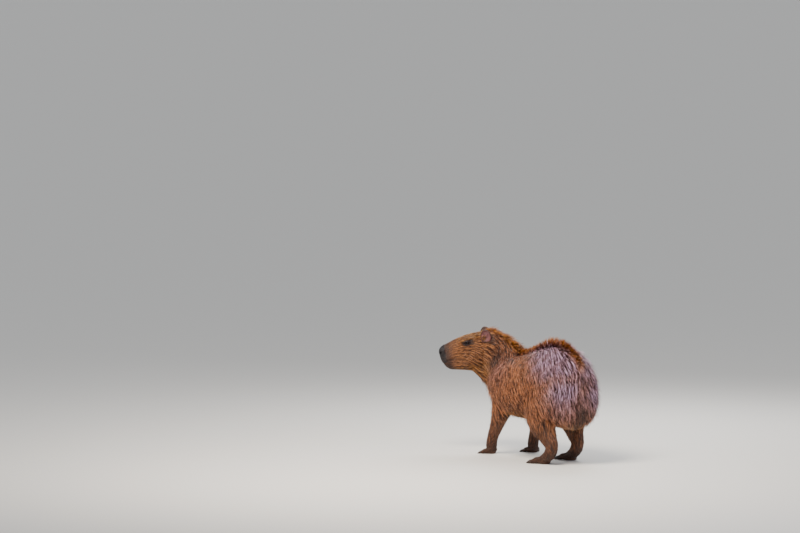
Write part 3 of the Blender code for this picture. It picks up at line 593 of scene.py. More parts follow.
def coat_on(points, normals, in_head):
    """What the coat is like at each point of the skin, and how much painted sky reflection it carries."""
    x, y, z = points.T
    hx, hy, hz = in_head.T
    on_head, bare = head_share(points, in_head), nose_share(in_head)
    in_pair = np.stack([hx, np.abs(hy), hz], axis=1)
    round_eye = hump(in_pair, (0.132, 0.055, -0.002), (0.030, 0.030, 0.021))
    muzzle = ramp(hx, 0.13, 0.235) * on_head
    upward = ramp(normals[:, 2], 0.15, 0.75)
    away = np.abs(y - np.interp(x, *np.array(MIDLINE).T))
    behind_head = 1 - ramp(hx, 0.055, 0.095)
    crest = (1 - ramp(away, CREST_HALF * 0.4, CREST_HALF * 1.9)) * upward * ramp(x, -0.385, -0.33) * behind_head
    nape = ramp(x, 0.02, 0.16)
    on_leg = 1 - ramp(z, 0.10, 0.26)
    on_foot = 1 - ramp(z, 0.035, 0.075)
    rear = ramp(-x, 0.28, 0.36)
    under = 1 - ramp(normals[:, 2], -0.75, -0.25)

    length = 0.042 + 0.004 * rear - 0.006 * ramp(x, 0.16, 0.26) + 0.016 * rear * (1 - ramp(z, 0.17, 0.22))
    length = length * (1 - 0.62 * on_leg) * (1 - 0.55 * on_foot)
    length = length + on_head * (0.021 - 0.013 * muzzle - length)
    length = length * (1 - 0.62 * round_eye * on_head) * (1 - 0.4 * bare)
    tallest = np.exp(-(((x + 0.11) / 0.10) ** 2))
    length = length + crest * (0.047 + 0.019 * tallest - length)
    width = 0.0024 * (1 - 0.35 * on_leg) * (1 - 0.30 * on_foot)
    width = width + on_head * (0.0016 - 0.0006 * muzzle - width)
    width = width + crest * (0.0018 - width)
    stand = 0.13 + 0.10 * rear + 0.10 * under * (1 - on_leg) - 0.02 * muzzle
    stand = stand + crest * (1.08 - 0.52 * nape - stand)

    line = np.interp(hx, *np.array(sorted(MOUTH_LINE)).T)
    in_mouth = (np.abs(hz - line) < 0.0014) & (hx > 0.192) & (on_head > 0.5)
    by_eye = np.hypot((hx - EYE_AT.x) / EYE_OPENING[0], (hz - EYE_AT.z) / EYE_OPENING[1])
    in_socket = (by_eye < 1.02) & (np.abs(hy) > 0.045) & (on_head > 0.5)
    round_lids = ramp(by_eye, 1.15, 1.5)
    stubble = 0.9 * bare * ramp(-hz, 0.022, 0.046)
    fullness = np.maximum(1 - bare, stubble) * np.where(on_head > 0.5, round_lids, 1.0) * foot_cover(z)
    fullness[in_mouth | in_socket] = 0
    fullness = fullness * (1 + 0.6 * crest)

    brow = ramp(hz, -0.012, 0.022) * (1 - ramp(hx, 0.15, 0.21)) * on_head
    cheek = 0.32 * on_head * (1 - ramp(hx, 0.19, 0.25))
    off_legs = 1 - ramp(np.abs(y), 0.070, 0.105) * np.maximum(ramp(x, 0.06, 0.12), ramp(-x, 0.10, 0.14))
    belly = (1 - ramp(z, 0.205, 0.262)) * ramp(z, 0.17, 0.19) * ramp(x, -0.16, -0.02) * off_legs
    throat = 0.45 * (1 - ramp(z, 0.36, 0.44)) * ramp(x, 0.22, 0.30) * (1 - on_head)
    breech = hump(points, (-0.34, 0.0, 0.178), (0.08, 0.09, 0.032))
    tail_end = 0.6 * ramp(-x, 0.372, 0.415) * ramp(z, 0.22, 0.30)
    side_brow = 0.35 * hump(in_pair, (0.142, 0.060, -0.024), (0.030, 0.02, 0.012)) * on_head
    chin = 0.6 * (1 - ramp(hz, -0.110, -0.080)) * on_head
    golden = [brow, cheek, chin, 0.7 * belly, throat, breech, tail_end, crest, side_brow]
    golden = np.clip(np.maximum.reduce(golden), 0, 1)
    on_flank = np.stack([x, np.abs(y), z], axis=1)
    # Painted reflection: the wet back, rump and shoulder are tinted lilac where they would mirror the sky.
    back_sky_sheen = 0.92 * ramp(-x - 1.3 * away, -0.10, 0.09) * ramp(z, 0.36, 0.49)
    rump_sky_sheen = 0.95 * hump(on_flank, (-0.350, 0.070, 0.360), (0.080, 0.085, 0.090))
    shoulder_sky_sheen = 0.16 * hump(on_flank, (0.16, 0.10, 0.42), (0.10, 0.12, 0.06))
    painted_sky_sheen = np.maximum.reduce([back_sky_sheen, rump_sky_sheen, shoulder_sky_sheen]) * (1 - crest)
    painted_sky_sheen = painted_sky_sheen * (1 - tail_end)
    painted_sky_sheen = np.clip(painted_sky_sheen * (1 + 0.22 * np.sin(x * 61 + z * 43 + 2 * np.sin(y * 30))), 0, 1)
    legs_dark = (1 - ramp(z, 0.030, 0.090)) * 0.40 + (1 - ramp(z, 0.11, 0.23)) * 0.42
    on_side = np.stack([x, np.abs(y - 0.04 * ramp(x, 0.1, 0.3)), z], axis=1)
    neck_dark = 0.90 * hump(on_side, (0.245, 0.080, 0.455), (0.080, 0.10, 0.085)) * (1 - 0.8 * on_head)
    tail_dark = 0.95 * hump(points, (-0.370, 0.0, 0.240), (0.07, 0.034, 0.058))
    ear_dark = hump(in_pair, (0.018, 0.066, -0.030), (0.035, 0.05, 0.045)) * 0.45
    lips_dark = hump(in_pair, (0.236, 0.040, -0.0600), (0.040, 0.03, 0.0065)) * on_head
    edge_dark = ramp(hx, 0.200 - 0.4 * np.clip(hz + 0.03, -0.02, 0.05), 0.240) * on_head * 0.9
    lid_dark = (1 - ramp(by_eye, 1.5, 2.7)) * on_head * 0.95
    bare = np.maximum(bare, (1 - ramp(by_eye, 1.2, 1.6)) * on_head)
    dusky = np.maximum.reduce([legs_dark, tail_dark, ear_dark, neck_dark, lips_dark, edge_dark, lid_dark, bare])
    dusky = np.clip(dusky - 0.3 * stubble, 0, 1)
    return {
        "hair_length": length, "hair_width": width, "stand": stand, "fullness": fullness,
        "golden": golden, "dry": crest, "painted_sky_sheen": painted_sky_sheen, "dusky": dusky, "bare": np.maximum(bare, in_mouth),
    }


def foot_cover(z):
    return ramp(z, 0.007, 0.016)


def keep(mesh, name, values):
    """Stores one number or direction for each of the mesh's points."""
    values = np.asarray(values, dtype=np.float32)
    kind, field = ("FLOAT_VECTOR", "vector") if values.ndim == 2 else ("FLOAT", "value")
    mesh.attributes.new(name, kind, "POINT").data.foreach_set(field, values.ravel())


def unwrap(obj):
    """An unwrap of the surface's own shape, named OFBake, for baking its colours on."""
    obj.data.uv_layers.new(name="OFBake")
    bpy.context.view_layer.objects.active = obj
    obj.select_set(True)
    bpy.ops.object.mode_set(mode="EDIT")
    bpy.ops.mesh.select_all(action="SELECT")
    bpy.ops.uv.smart_project(angle_limit=math.radians(66), island_margin=0.001)
    bpy.ops.object.mode_set(mode="OBJECT")
    obj.select_set(False)


unwrap(skin)
points, normals, in_head = read(skin.data)
coat = coat_on(points, normals, in_head)
for name, values in coat.items():
    keep(skin.data, name, values)
lie = combed(skin.data, lie_of_hair(points, normals, in_head), normals)
keep(skin.data, "lie", lie)
keep(skin.data, "out", normals)
skin.data.polygons.foreach_set("use_smooth", [True] * len(skin.data.polygons))
skin.data.update()

# Hide under wet hair is dark and slightly greasy; the nose is bare, dark slate and finely pebbled, like
# soft leather. Its base colours are the coat's own, drawn towards the dark of the hair roots, partly the hide's own
# dark and partly painted shade between the hairs, so that no pale skin shows between them.
RUSSET = ("#36180D", "#DE8E5C")
GOLDEN = ("#582C10", "#DCA050")
DRY = ("#74390F", "#DC8E34")
# Painted reflection of the sky on the wet coat, lilac, from its deep to its light shade.
SKY_SHEEN_SHADES = ("#58343F", "#EEC6E6")
DUSKY = ("#1B100D", "#50342A")
NOSE_SLATE = ("#0C0A0B", "#231C1F")
# Painted shade: the dark that each tuft's root and the hide between the hairs are drawn towards, where the coat shades
# itself.
HAIR_ROOT_SHADE = "#1F110C"
PEBBLE = 0.0016


def hexed(colour):
    """An sRGB hex colour as the linear values that a shader takes."""
    parts = [int(colour[i : i + 2], 16) / 255 for i in (1, 3, 5)]
    return (*[c / 12.92 if c <= 0.04045 else ((c + 0.055) / 1.055) ** 2.4 for c in parts], 1)


def add(tree, kind, links=None, **settings):
    """Adds a node, sets its settings, and links or sets its sockets."""
    node = tree.nodes.new(kind)
    for name, value in settings.items():
        setattr(node, name, value)
    for socket, value in (links or {}).items():
        if isinstance(value, bpy.types.Node):
            value = value.outputs[0]
        if isinstance(value, bpy.types.NodeSocket):
            tree.links.new(value, node.inputs[socket])
        else:
            node.inputs[socket].default_value = value
    return node


def surface(name, **settings):
    """A material with its Principled shader, whose constant settings are given by socket name."""
    made = bpy.data.materials.new(name)
    made.use_nodes = True
    shader = made.node_tree.nodes["Principled BSDF"]
    for socket, value in settings.items():
        shader.inputs[socket.replace("_", " ")].default_value = value
    return made, made.node_tree, shader


def coat_colours(tree, tone):
    """The coat's colour from its markings and the painted sky reflection, each running from its deep to its light shade
    with the tone.
    """
    colour = None
    for marking, shades in (
        ("russet", RUSSET), ("golden", GOLDEN), ("dry", DRY), ("painted_sky_sheen", SKY_SHEEN_SHADES), ("dusky", DUSKY)
    ):
        shade = add(tree, "ShaderNodeMix", {0: tone, 6: hexed(shades[0]), 7: hexed(shades[1])}, data_type="RGBA")
        if colour:
            share = add(tree, "ShaderNodeAttribute", attribute_name=marking)
            # Painted highlight: the sky reflection shows most on the lightest tufts, like a glint on wet hair.
            if marking == "painted_sky_sheen":
                lit = add(tree, "ShaderNodeMapRange", {"Value": tone, "To Min": 0.5, "To Max": 1.2})
                share = add(
                    tree, "ShaderNodeMath", {0: share.outputs["Fac"], 1: lit}, operation="MULTIPLY", use_clamp=True
                )
            shade = add(
                tree, "ShaderNodeMix",
                {0: share.outputs[0 if marking == "painted_sky_sheen" else 2], 6: colour, 7: shade.outputs[2]}, data_type="RGBA",
            )
        colour = shade.outputs[2]
    return colour


hide, tree, shader = surface("wet_hide_under_hair", Roughness=0.6, IOR=1.36)
place = add(tree, "ShaderNodeTexCoord")
mottle = add(tree, "ShaderNodeTexNoise", {"Vector": place.outputs["Object"], "Scale": 130.0, "Detail": 5.0})
under = add(
    tree, "ShaderNodeMapRange", {"Value": mottle.outputs["Fac"], "From Min": 0.25, "From Max": 0.75, "To Max": 0.6}
)
coloured = coat_colours(tree, under.outputs[0])
# Painted shade: the hide is drawn nearly halfway to the dark root colour, partly its own dark and partly the shade that
# falls between the hairs.
hide_in_painted_shade = add(
    tree, "ShaderNodeMix", {0: 0.45, 6: coloured, 7: hexed(HAIR_ROOT_SHADE)}, data_type="RGBA",
)
pebbles = add(tree, "ShaderNodeTexVoronoi", {"Vector": place.outputs["Object"], "Scale": 1 / PEBBLE, "Randomness": 0.9})
slate = add(
    tree, "ShaderNodeMix",
    {0: pebbles.outputs["Distance"], 6: hexed(NOSE_SLATE[0]), 7: hexed(NOSE_SLATE[1])}, data_type="RGBA",
)
bare_here = add(tree, "ShaderNodeAttribute", attribute_name="bare")
finished = add(
    tree, "ShaderNodeMix",
    {0: bare_here.outputs["Fac"], 6: hide_in_painted_shade.outputs[2], 7: slate.outputs[2]}, data_type="RGBA",
)
grain = add(tree, "ShaderNodeTexNoise", {"Vector": place.outputs["Object"], "Scale": 900.0, "Detail": 3.0})
height = add(
    tree, "ShaderNodeMix",
    {0: bare_here.outputs["Fac"], 2: grain.outputs["Fac"], 3: pebbles.outputs["Distance"]}, data_type="FLOAT",
)
relief = add(tree, "ShaderNodeBump", {"Height": height.outputs[0], "Distance": 0.0007, "Strength": 0.9})
tree.links.new(finished.outputs[2], shader.inputs["Base Color"])
tree.links.new(relief.outputs[0], shader.inputs["Normal"])
skin.data.materials.clear()
skin.data.materials.append(hide)
move(skin, set_down)
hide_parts(*FLESH_PARTS)
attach(skin, "root")

# The eyes. Dark brown glossy balls, moist, each with a wider round pupil sunk in the brown. Their shape
# is a plain ball with the cornea's slight swell at the front.
IRIS = ("#120806", "#2C170D")
CORNEA_SWELL = 0.0007
EYEBALL = (0.0160, 0.0150, 0.0150)

eye_surface, tree, shader = surface("moist_dark_eye", Roughness=0.03, IOR=1.34, Specular_IOR_Level=0.36)
gaze = add(tree, "ShaderNodeAttribute", attribute_name="off_gaze")
pupil = add(tree, "ShaderNodeMapRange", {"Value": gaze.outputs["Fac"], "From Min": 0.34, "From Max": 0.46})
fibres = add(tree, "ShaderNodeTexNoise", {"Scale": 700.0, "Detail": 4.0})
brown = add(
    tree, "ShaderNodeMix", {0: fibres.outputs["Fac"], 6: hexed(IRIS[0]), 7: hexed(IRIS[1])}, data_type="RGBA",
)
dark = add(
    tree, "ShaderNodeMix", {0: pupil.outputs[0], 6: hexed("#050304"), 7: brown.outputs[2]}, data_type="RGBA",
)
tree.links.new(dark.outputs[2], shader.inputs["Base Color"])
tree.links.new(add(tree, "ShaderNodeTexCoord").outputs["Object"], fibres.inputs["Vector"])
for word, side in (("left", 1), ("right", -1)):
    ball = ellipsoid(f"eyeball_{word}", mirrored(EYE_AT, side), EYEBALL, segments=64)
    spots = np.array([v.co for v in ball.data.vertices])
    rays = unit(spots - np.array(mirrored(EYE_AT, side)))
    facing = rays @ np.array(Vector((0.10, side, 0.0)).normalized())
    swell = CORNEA_SWELL * ramp(facing, 0.55, 1.0)
    ball.data.vertices.foreach_set("co", (spots + rays * spread(swell - CORNEA_SWELL * 0.6)).ravel())
    keep(ball.data, "off_gaze", np.arccos(np.clip(facing, -1, 1)))
    ball.data.polygons.foreach_set("use_smooth", [True] * len(ball.data.polygons))
    ball.data.materials.append(eye_surface)
    move(ball, set_down @ head_frame)
    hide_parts(f"eye_{word}")
    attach(ball, "root")

# The eyelids. Each eye has a thick upper lid and a thinner lower one, of bare, dark, greyish skin that is
# drawn to a point at both corners. They are one soft rim that beds in the skin round the opening.
LID_SKIN = ("#0F0B0C", "#33282B")
LID_PATH = (0.0152, 0.0078)
UPPER_LID, LOWER_LID, LID_CORNER = 0.0019, 0.0014, 0.0009

lid_surface, tree, shader = surface("moist_lid_skin", Roughness=0.5, IOR=1.4)
place = add(tree, "ShaderNodeTexCoord")
creases = add(tree, "ShaderNodeTexNoise", {"Vector": place.outputs["Object"], "Scale": 650.0, "Detail": 5.0})
shade = add(
    tree, "ShaderNodeMix", {0: creases.outputs["Fac"], 6: hexed(LID_SKIN[0]), 7: hexed(LID_SKIN[1])}, data_type="RGBA",
)
relief = add(tree, "ShaderNodeBump", {"Height": creases.outputs["Fac"], "Distance": 0.0004, "Strength": 0.7})
tree.links.new(shade.outputs[2], shader.inputs["Base Color"])
tree.links.new(relief.outputs[0], shader.inputs["Normal"])


def bed(obj, back=Matrix.Identity(4)):
    """The object's surface, taken through the matrix back, for finding the places of what is set on it."""
    return BVHTree.FromPolygons([back @ v.co for v in obj.data.vertices], [p.vertices for p in obj.data.polygons])


face_bed = bed(skin, (set_down @ head_frame).inverted())
for word, side in (("left", 1), ("right", -1)):
    path, centre = almond(side, *LID_PATH, 0, count=72), mirrored(EYE_AT, side)
    for i, point in enumerate(path):
        hit, _, _, _ = face_bed.ray_cast(Vector((point.x, side * 0.09, point.z)), Vector((0, -side, 0)))
        on_ball = EYEBALL[1] ** 2 - (point.x - centre.x) ** 2 * 0.9 - (point.z - centre.z) ** 2
        on_ball = EYE_AT.y + math.sqrt(max(on_ball, 0))
        point.y = side * max(abs(hit.y) - 0.0008, on_ball + 0.0002)
    heights = [point.y for point in path]
    for i, point in enumerate(path):
        near_by = [heights[(i + k) % len(path)] for k in range(-3, 4)]
        point.y = sum(near_by) / len(near_by)
    rim, sides = [], 12
    for i, point in enumerate(path):
        turn = 2 * math.pi * i / len(path)
        upper_share = max(math.sin(turn), 0) ** 0.5
        lower_share = max(-math.sin(turn), 0) ** 0.5
        thick = LID_CORNER + (UPPER_LID - LID_CORNER) * upper_share + (LOWER_LID - LID_CORNER) * lower_share
        ahead = (path[(i + 1) % len(path)] - path[i - 1]).normalized()
        out = Vector((0, side, 0.25 * upper_share)).normalized()
        across = ahead.cross(out)
        turns = [2 * math.pi * k / sides for k in range(sides)]
        rim.append([point + (out * math.cos(a) * 0.9 + across * math.sin(a)) * thick for a in turns])
    rows, faces = [p for ring in rim for p in ring], []
    for i in range(len(rim)):
        for k in range(sides):
            a, b = i * sides, (i + 1) % len(rim) * sides
            faces.append((a + k, a + (k + 1) % sides, b + (k + 1) % sides, b + k))
    lids = mesh_object(f"eyelids_{word}", rows, faces)
    lids.data.polygons.foreach_set("use_smooth", [True] * len(lids.data.polygons))
    lids.data.materials.append(lid_surface)
    move(lids, set_down @ head_frame)
    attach(lids, "root")

# The ears. Small, round and thick-edged, folded in at the front, of naked mauve-pink skin inside and dark
# short-haired skin behind. Each is a hollowed cup melted to soft edges.
EAR_AT = (0.044, 0.056, -0.033)
EAR_HALF = (0.0260, 0.0105, 0.0400)
EAR_WALL = 0.0034
EAR_FLOOR = 0.0190
EAR_INSIDE = ("#3C2022", "#905E5E")
EAR_OUTSIDE = ("#211310", "#523429")


def ear_matrix(side):
    """From the ear's own frame (+Z to its tip, +Y the way it opens) to the maker's."""
    lean = Matrix.Rotation(math.radians(-14), 4, "Y") @ Matrix.Rotation(math.radians(-side * 20), 4, "X")
    place = Matrix.Translation((EAR_AT[0], side * EAR_AT[1], EAR_AT[2]))
    return head_frame @ place @ lean @ Matrix.Rotation(side * math.radians(-12), 4, "Z")


ear_surface, tree, shader = surface("thin_ear_skin", Roughness=0.48, IOR=1.42)
shader.inputs["Subsurface Weight"].default_value = 0.12
shader.inputs["Subsurface Scale"].default_value = 0.004
place = add(tree, "ShaderNodeTexCoord")
veins = add(tree, "ShaderNodeTexNoise", {"Vector": place.outputs["Object"], "Scale": 160.0, "Detail": 6.0})
inside = add(tree, "ShaderNodeAttribute", attribute_name="inside")
pink = add(
    tree, "ShaderNodeMix", {0: veins.outputs["Fac"], 6: hexed(EAR_INSIDE[0]), 7: hexed(EAR_INSIDE[1])}, data_type="RGBA",
)
brown = add(
    tree, "ShaderNodeMix", {0: veins.outputs["Fac"], 6: hexed(EAR_OUTSIDE[0]), 7: hexed(EAR_OUTSIDE[1])}, data_type="RGBA",
)
both = add(
    tree, "ShaderNodeMix", {0: inside.outputs["Fac"], 6: brown.outputs[2], 7: pink.outputs[2]}, data_type="RGBA",
)
wrinkles = add(tree, "ShaderNodeTexNoise", {"Vector": place.outputs["Object"], "Scale": 520.0, "Detail": 4.0})
relief = add(tree, "ShaderNodeBump", {"Height": wrinkles.outputs["Fac"], "Distance": 0.0004, "Strength": 0.6})
tree.links.new(both.outputs[2], shader.inputs["Base Color"])
tree.links.new(relief.outputs[0], shader.inputs["Normal"])
ears = {}
for word, side in (("left", 1), ("right", -1)):
    wide, thick, tall = EAR_HALF
    ear = ellipsoid(f"ear_skin_{word}", (0, 0, tall * 0.86), (wide, thick, tall), segments=64)
    roof = tall * 1.86 - EAR_WALL
    hollow_radii = (wide - EAR_WALL, thick, (roof - EAR_FLOOR) / 2)
    cut(ear, ellipsoid("hollow", (0.001, side * thick * 0.66, (roof + EAR_FLOOR) / 2), hollow_radii, segments=64))
    lean_in = Matrix.Rotation(math.radians(-16), 4, "Y")
    front_fold = ellipsoid("front fold", (0.0165, side * 0.0020, 0.033), (0.0052, 0.0062, 0.015), lean_in)
    notch_lip = ellipsoid("notch lip", (0.0020, side * 0.0050, 0.0185), (0.0110, 0.0045, 0.0050))
    ridge = ellipsoid("ridge", (-0.0030, -side * 0.0015, 0.041), (0.0026, 0.0040, 0.015), lean_in)
    ear = joined(f"ear_skin_{word}", [ear, front_fold, notch_lip, ridge])
    melt = ear.modifiers.new("one surface", "REMESH")
    melt.mode = "VOXEL"
    melt.voxel_size = 0.0011
    soften = ear.modifiers.new("soften", "SMOOTH")
    soften.iterations = 8
    applied(ear)
    spots, facing, _ = read(ear.data)
    hollow_side = ramp(facing[:, 1] * side, -0.15, 0.35) * ramp(spots[:, 2], 0.010, 0.022)
    lip_edge = np.hypot(spots[:, 0] / wide, (spots[:, 2] - tall * 0.86) / tall)
    keep(ear.data, "inside", hollow_side * (1 - ramp(lip_edge, 0.84, 0.95)))
    ear.data.polygons.foreach_set("use_smooth", [True] * len(ear.data.polygons))
    ear.data.materials.append(ear_surface)
    unwrap(ear)
    ears[side] = ear, bed(ear), spots, facing, hollow_side
    move(ear, set_down @ ear_matrix(side))
    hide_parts(f"ear_{word}")
    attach(ear, "root")

# The claws. Blunt and hoof-like, four on each forefoot and three on each hindfoot, of dark horn with fine
# ridges. Each is lofted from its bed in the toe to the floor.
CLAW_LENGTH = {4: 0.017, 3: 0.023}
HORN = ("#17100D", "#493930")

horn, tree, shader = surface("worn_dark_horn", Roughness=0.5, IOR=1.5)
place = add(tree, "ShaderNodeTexCoord")
ridged = add(tree, "ShaderNodeMapping", {"Vector": place.outputs["Object"], "Scale": (120.0, 900.0, 900.0)})
lines = add(tree, "ShaderNodeTexNoise", {"Vector": ridged, "Scale": 1.0, "Detail": 3.0})
shade = add(
    tree, "ShaderNodeMix", {0: lines.outputs["Fac"], 6: hexed(HORN[0]), 7: hexed(HORN[1])}, data_type="RGBA",
)
relief = add(tree, "ShaderNodeBump", {"Height": lines.outputs["Fac"], "Distance": 0.0003, "Strength": 0.6})
tree.links.new(shade.outputs[2], shader.inputs["Base Color"])
tree.links.new(relief.outputs[0], shader.inputs["Normal"])
claws = []
for name, leg in LEGS.items():
    count = leg["foot"][1]
    radius, length = TOE_RADIUS[count], CLAW_LENGTH[count]
    for start, way, reach in toes(leg["foot"]):
        tip = start + way * (reach + radius * 0.55)
        side = Vector((-way.y, way.x, 0))
        profile = smooth_between(
            [(-0.55, 0.55, 1.30, 0.45), (0.10, 0.78, 1.35, 0.12), (0.65, 0.62, 0.85, 0.06), (1.0, 0.26, 0.36, 0.06)], 4
        )
        rings = []
        for along, width, top, bottom in profile:
            ring = []
            for k in range(9):
                angle = math.pi * (1 - k / 8)
                across, up = math.cos(angle), math.sin(angle) ** 0.8
                spot = tip + way * length * along + side * across * width * radius
                ring.append(Vector((spot.x, spot.y, (bottom + (top - bottom) * up) * radius)))
            rings.append(ring)
        claws.append(loft("claw", rings))
claws = joined("claws", claws)
claws.data.polygons.foreach_set("use_smooth", [True] * len(claws.data.polygons))
claws.data.materials.append(horn)
move(claws, set_down)
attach(claws, "root")

# The coat. Coarse, sparse, bristly hair, wet from a bath: it lies flat along the body and hangs together in
# thin pointed clumps with dark gaps between, where the roots carry painted shade. Each tuft is a closed blade of a few
# hairs, rooted in the skin, and its tip draws towards the middle of its clump. Along nape and back the crest stands up
# dry and golden.
REGIONS = {
    "coat_face_left": (250000, 0.0042, 2, 0.45, 0.2, 0.10, 0.65),
    "coat_face_right": (250000, 0.0042, 2, 0.45, 0.2, 0.10, 0.65),
    "coat_neck_left": (145000, 0.0085, 2, 0.66, 0.9, 0.55, 1.0),
    "coat_neck_right": (125000, 0.0085, 2, 0.66, 0.9, 0.55, 1.0),
    "coat_shoulder_left": (135000, 0.0090, 2, 0.70, 0.7, 0.40, 1.0),
    "coat_shoulder_right": (120000, 0.0090, 2, 0.70, 0.7, 0.40, 1.0),
    "coat_flank_left": (135000, 0.0092, 2, 0.70, 0.8, 0.42, 1.0),
    "coat_flank_right": (120000, 0.0092, 2, 0.70, 0.8, 0.42, 1.0),
    "coat_hip_left": (135000, 0.0092, 2, 0.70, 1.0, 0.55, 1.0),
    "coat_hip_right": (120000, 0.0092, 2, 0.70, 1.0, 0.55, 1.0),
    "coat_rump_left": (135000, 0.0092, 2, 0.70, 1.2, 0.75, 1.0),
    "coat_rump_right": (125000, 0.0092, 2, 0.70, 1.2, 0.75, 1.0),
    "coat_belly": (110000, 0.0095, 2, 0.70, 1.2, 0.50, 1.0),
    "coat_forelegs": (112000, 0.0065, 2, 0.55, 0.4, 0.20, 0.80),
    "coat_hindlegs": (88000, 0.0070, 2, 0.58, 0.4, 0.24, 0.80),
    "crest": (105000, 0.0110, 4, 0.46, 0.30, 0.30, 1.0),
}
HAIR_PATCH = 0.003
HAIR_SHAFT = 0.00042
STREAK_STEP, STREAK_TUFTS, STREAK_GAP = 0.0055, 9, 0.0048

hair, tree, shader = surface("wet_bristly_hair", Roughness=0.34, IOR=1.5, Coat_Weight=0.20, Coat_Roughness=0.16)
along = add(tree, "ShaderNodeAttribute", attribute_name="tuft_shape")
parts = add(tree, "ShaderNodeSeparateXYZ", {0: along.outputs["Vector"]})
clump = add(tree, "ShaderNodeAttribute", attribute_name="tone")
own = add(tree, "ShaderNodeAttribute", attribute_name="own")
shafts = add(tree, "ShaderNodeAttribute", attribute_name="across_tuft")
striped = add(tree, "ShaderNodeMath", {0: shafts.outputs["Fac"], 1: 2 * math.pi / HAIR_SHAFT}, operation="MULTIPLY")
stripe = add(tree, "ShaderNodeMath", {0: striped}, operation="SINE")
jitter = add(tree, "ShaderNodeMath", {0: own.outputs["Fac"], 1: 0.24, 2: -0.12}, operation="MULTIPLY_ADD")
lined = add(tree, "ShaderNodeMath", {0: stripe, 1: 0.10, 2: jitter}, operation="MULTIPLY_ADD")
in_line = add(tree, "ShaderNodeAttribute", attribute_name="streak")
shaded = add(tree, "ShaderNodeMath", {0: clump.outputs["Fac"], 1: 0.14, 2: lined}, operation="MULTIPLY_ADD")
toned = add(tree, "ShaderNodeMath", {0: in_line.outputs["Fac"], 1: 0.86, 2: shaded}, operation="MULTIPLY_ADD")
clear = add(
    tree, "ShaderNodeMapRange", {"Value": toned, "From Min": 0.42, "From Max": 0.90}, interpolation_type="SMOOTHSTEP"
)
coloured = coat_colours(tree, clear.outputs[0])
# Painted shade: each tuft is drawn towards the dark root colour over the first half of its length, where the coat
# shades itself, and less where the hair stands up.
raised = add(tree, "ShaderNodeAttribute", attribute_name="stand")
root_shade_share = add(tree, "ShaderNodeMath", {0: raised.outputs["Fac"], 1: -0.62, 2: 0.88}, operation="MULTIPLY_ADD")
lit_end = add(
    tree, "ShaderNodeMapRange", {"Value": parts.outputs["Z"], "From Max": 0.55, "To Min": root_shade_share, "To Max": 0.0}
)
rooted = add(tree, "ShaderNodeMix", {0: lit_end, 6: coloured, 7: hexed(HAIR_ROOT_SHADE)}, data_type="RGBA")
relief = add(tree, "ShaderNodeBump", {"Height": stripe, "Distance": 0.00012, "Strength": 0.5})
tree.links.new(rooted.outputs[2], shader.inputs["Base Color"])
tree.links.new(relief.outputs[0], shader.inputs["Normal"])

coat_tree = bpy.data.node_groups.new("tufts along the skin", "GeometryNodeTree")
for label, kind in (
    ("Skin", "Geometry"), ("Region", "Int"), ("Tufts per Square Metre", "Float"), ("Clump Spacing", "Float"),
    ("Segments", "Int"), ("Gather", "Float"), ("Looseness", "Float"), ("Strays", "Float"), ("Seed", "Int"),
    ("Hair", "Material"),
):
    coat_tree.interface.new_socket(label, in_out="INPUT", socket_type="NodeSocket" + kind)
coat_tree.interface.new_socket("Coat", in_out="OUTPUT", socket_type="NodeSocketGeometry")
given = add(coat_tree, "NodeGroupInput").outputs
STORED = {
    "region": "INT", "hair_length": "FLOAT", "hair_width": "FLOAT", "stand": "FLOAT", "fullness": "FLOAT",
    "lie": "FLOAT_VECTOR", "out": "FLOAT_VECTOR", "OFBake": "FLOAT_VECTOR", "tone": "FLOAT", "own": "FLOAT",
    "root": "FLOAT_VECTOR", "gather": "FLOAT_VECTOR", "swing": "FLOAT", "tuft_shape": "FLOAT_VECTOR",
}
kept = {
    name: add(coat_tree, "GeometryNodeInputNamedAttribute", {"Name": name}, data_type=kind).outputs["Attribute"]
    for name, kind in STORED.items()
}


def math_on(*values, operation, **settings):
    """A Math or, where one is asked for, a Vector Math node on these values."""
    kind = settings.pop("kind", "ShaderNodeMath")
    return add(coat_tree, kind, dict(enumerate(values)), operation=operation, **settings)


def stored(geometry, name, value, kind="FLOAT", domain="POINT"):
    return add(
        coat_tree, "GeometryNodeStoreNamedAttribute",
        {"Geometry": geometry, "Name": name, "Value": value}, data_type=kind, domain=domain,
    )


def random_on(low, high, offset):
    seed = math_on(given["Seed"], offset, operation="ADD")
    return add(coat_tree, "FunctionNodeRandomValue", {2: low, 3: high, 8: seed}).outputs[1]


VECTORS = "ShaderNodeVectorMath"
position = add(coat_tree, "GeometryNodeInputPosition")
here = add(
    coat_tree, "FunctionNodeCompare", {2: kept["region"], 3: given["Region"]}, data_type="INT", operation="EQUAL"
)
thickness = math_on(kept["fullness"], given["Tufts per Square Metre"], operation="MULTIPLY")
roots = add(
    coat_tree, "GeometryNodeDistributePointsOnFaces",
    {"Mesh": given["Skin"], "Selection": here, "Density": thickness, "Seed": given["Seed"]},
)
clumps = add(
    coat_tree, "GeometryNodeDistributePointsOnFaces",
    {"Mesh": given["Skin"], "Selection": here, "Distance Min": given["Clump Spacing"], "Density Max": 60000.0,
     "Seed": given["Seed"]},
    distribute_method="POISSON",
)
toned_clumps = stored(clumps.outputs["Points"], "tone", random_on(0.0, 1.0, 11))
swung_clumps = stored(toned_clumps, "swing", random_on(-1.0, 1.0, 12))
nearest = add(coat_tree, "GeometryNodeSampleNearest", {"Geometry": swung_clumps})
taken = {}
for name, value, kind in (
    ("tone", kept["tone"], "FLOAT"), ("swing", kept["swing"], "FLOAT"), ("middle", position, "FLOAT_VECTOR"),
):
    taken[name] = add(
        coat_tree, "GeometryNodeSampleIndex",
        {"Geometry": swung_clumps, "Value": value, "Index": nearest}, data_type=kind,
    )
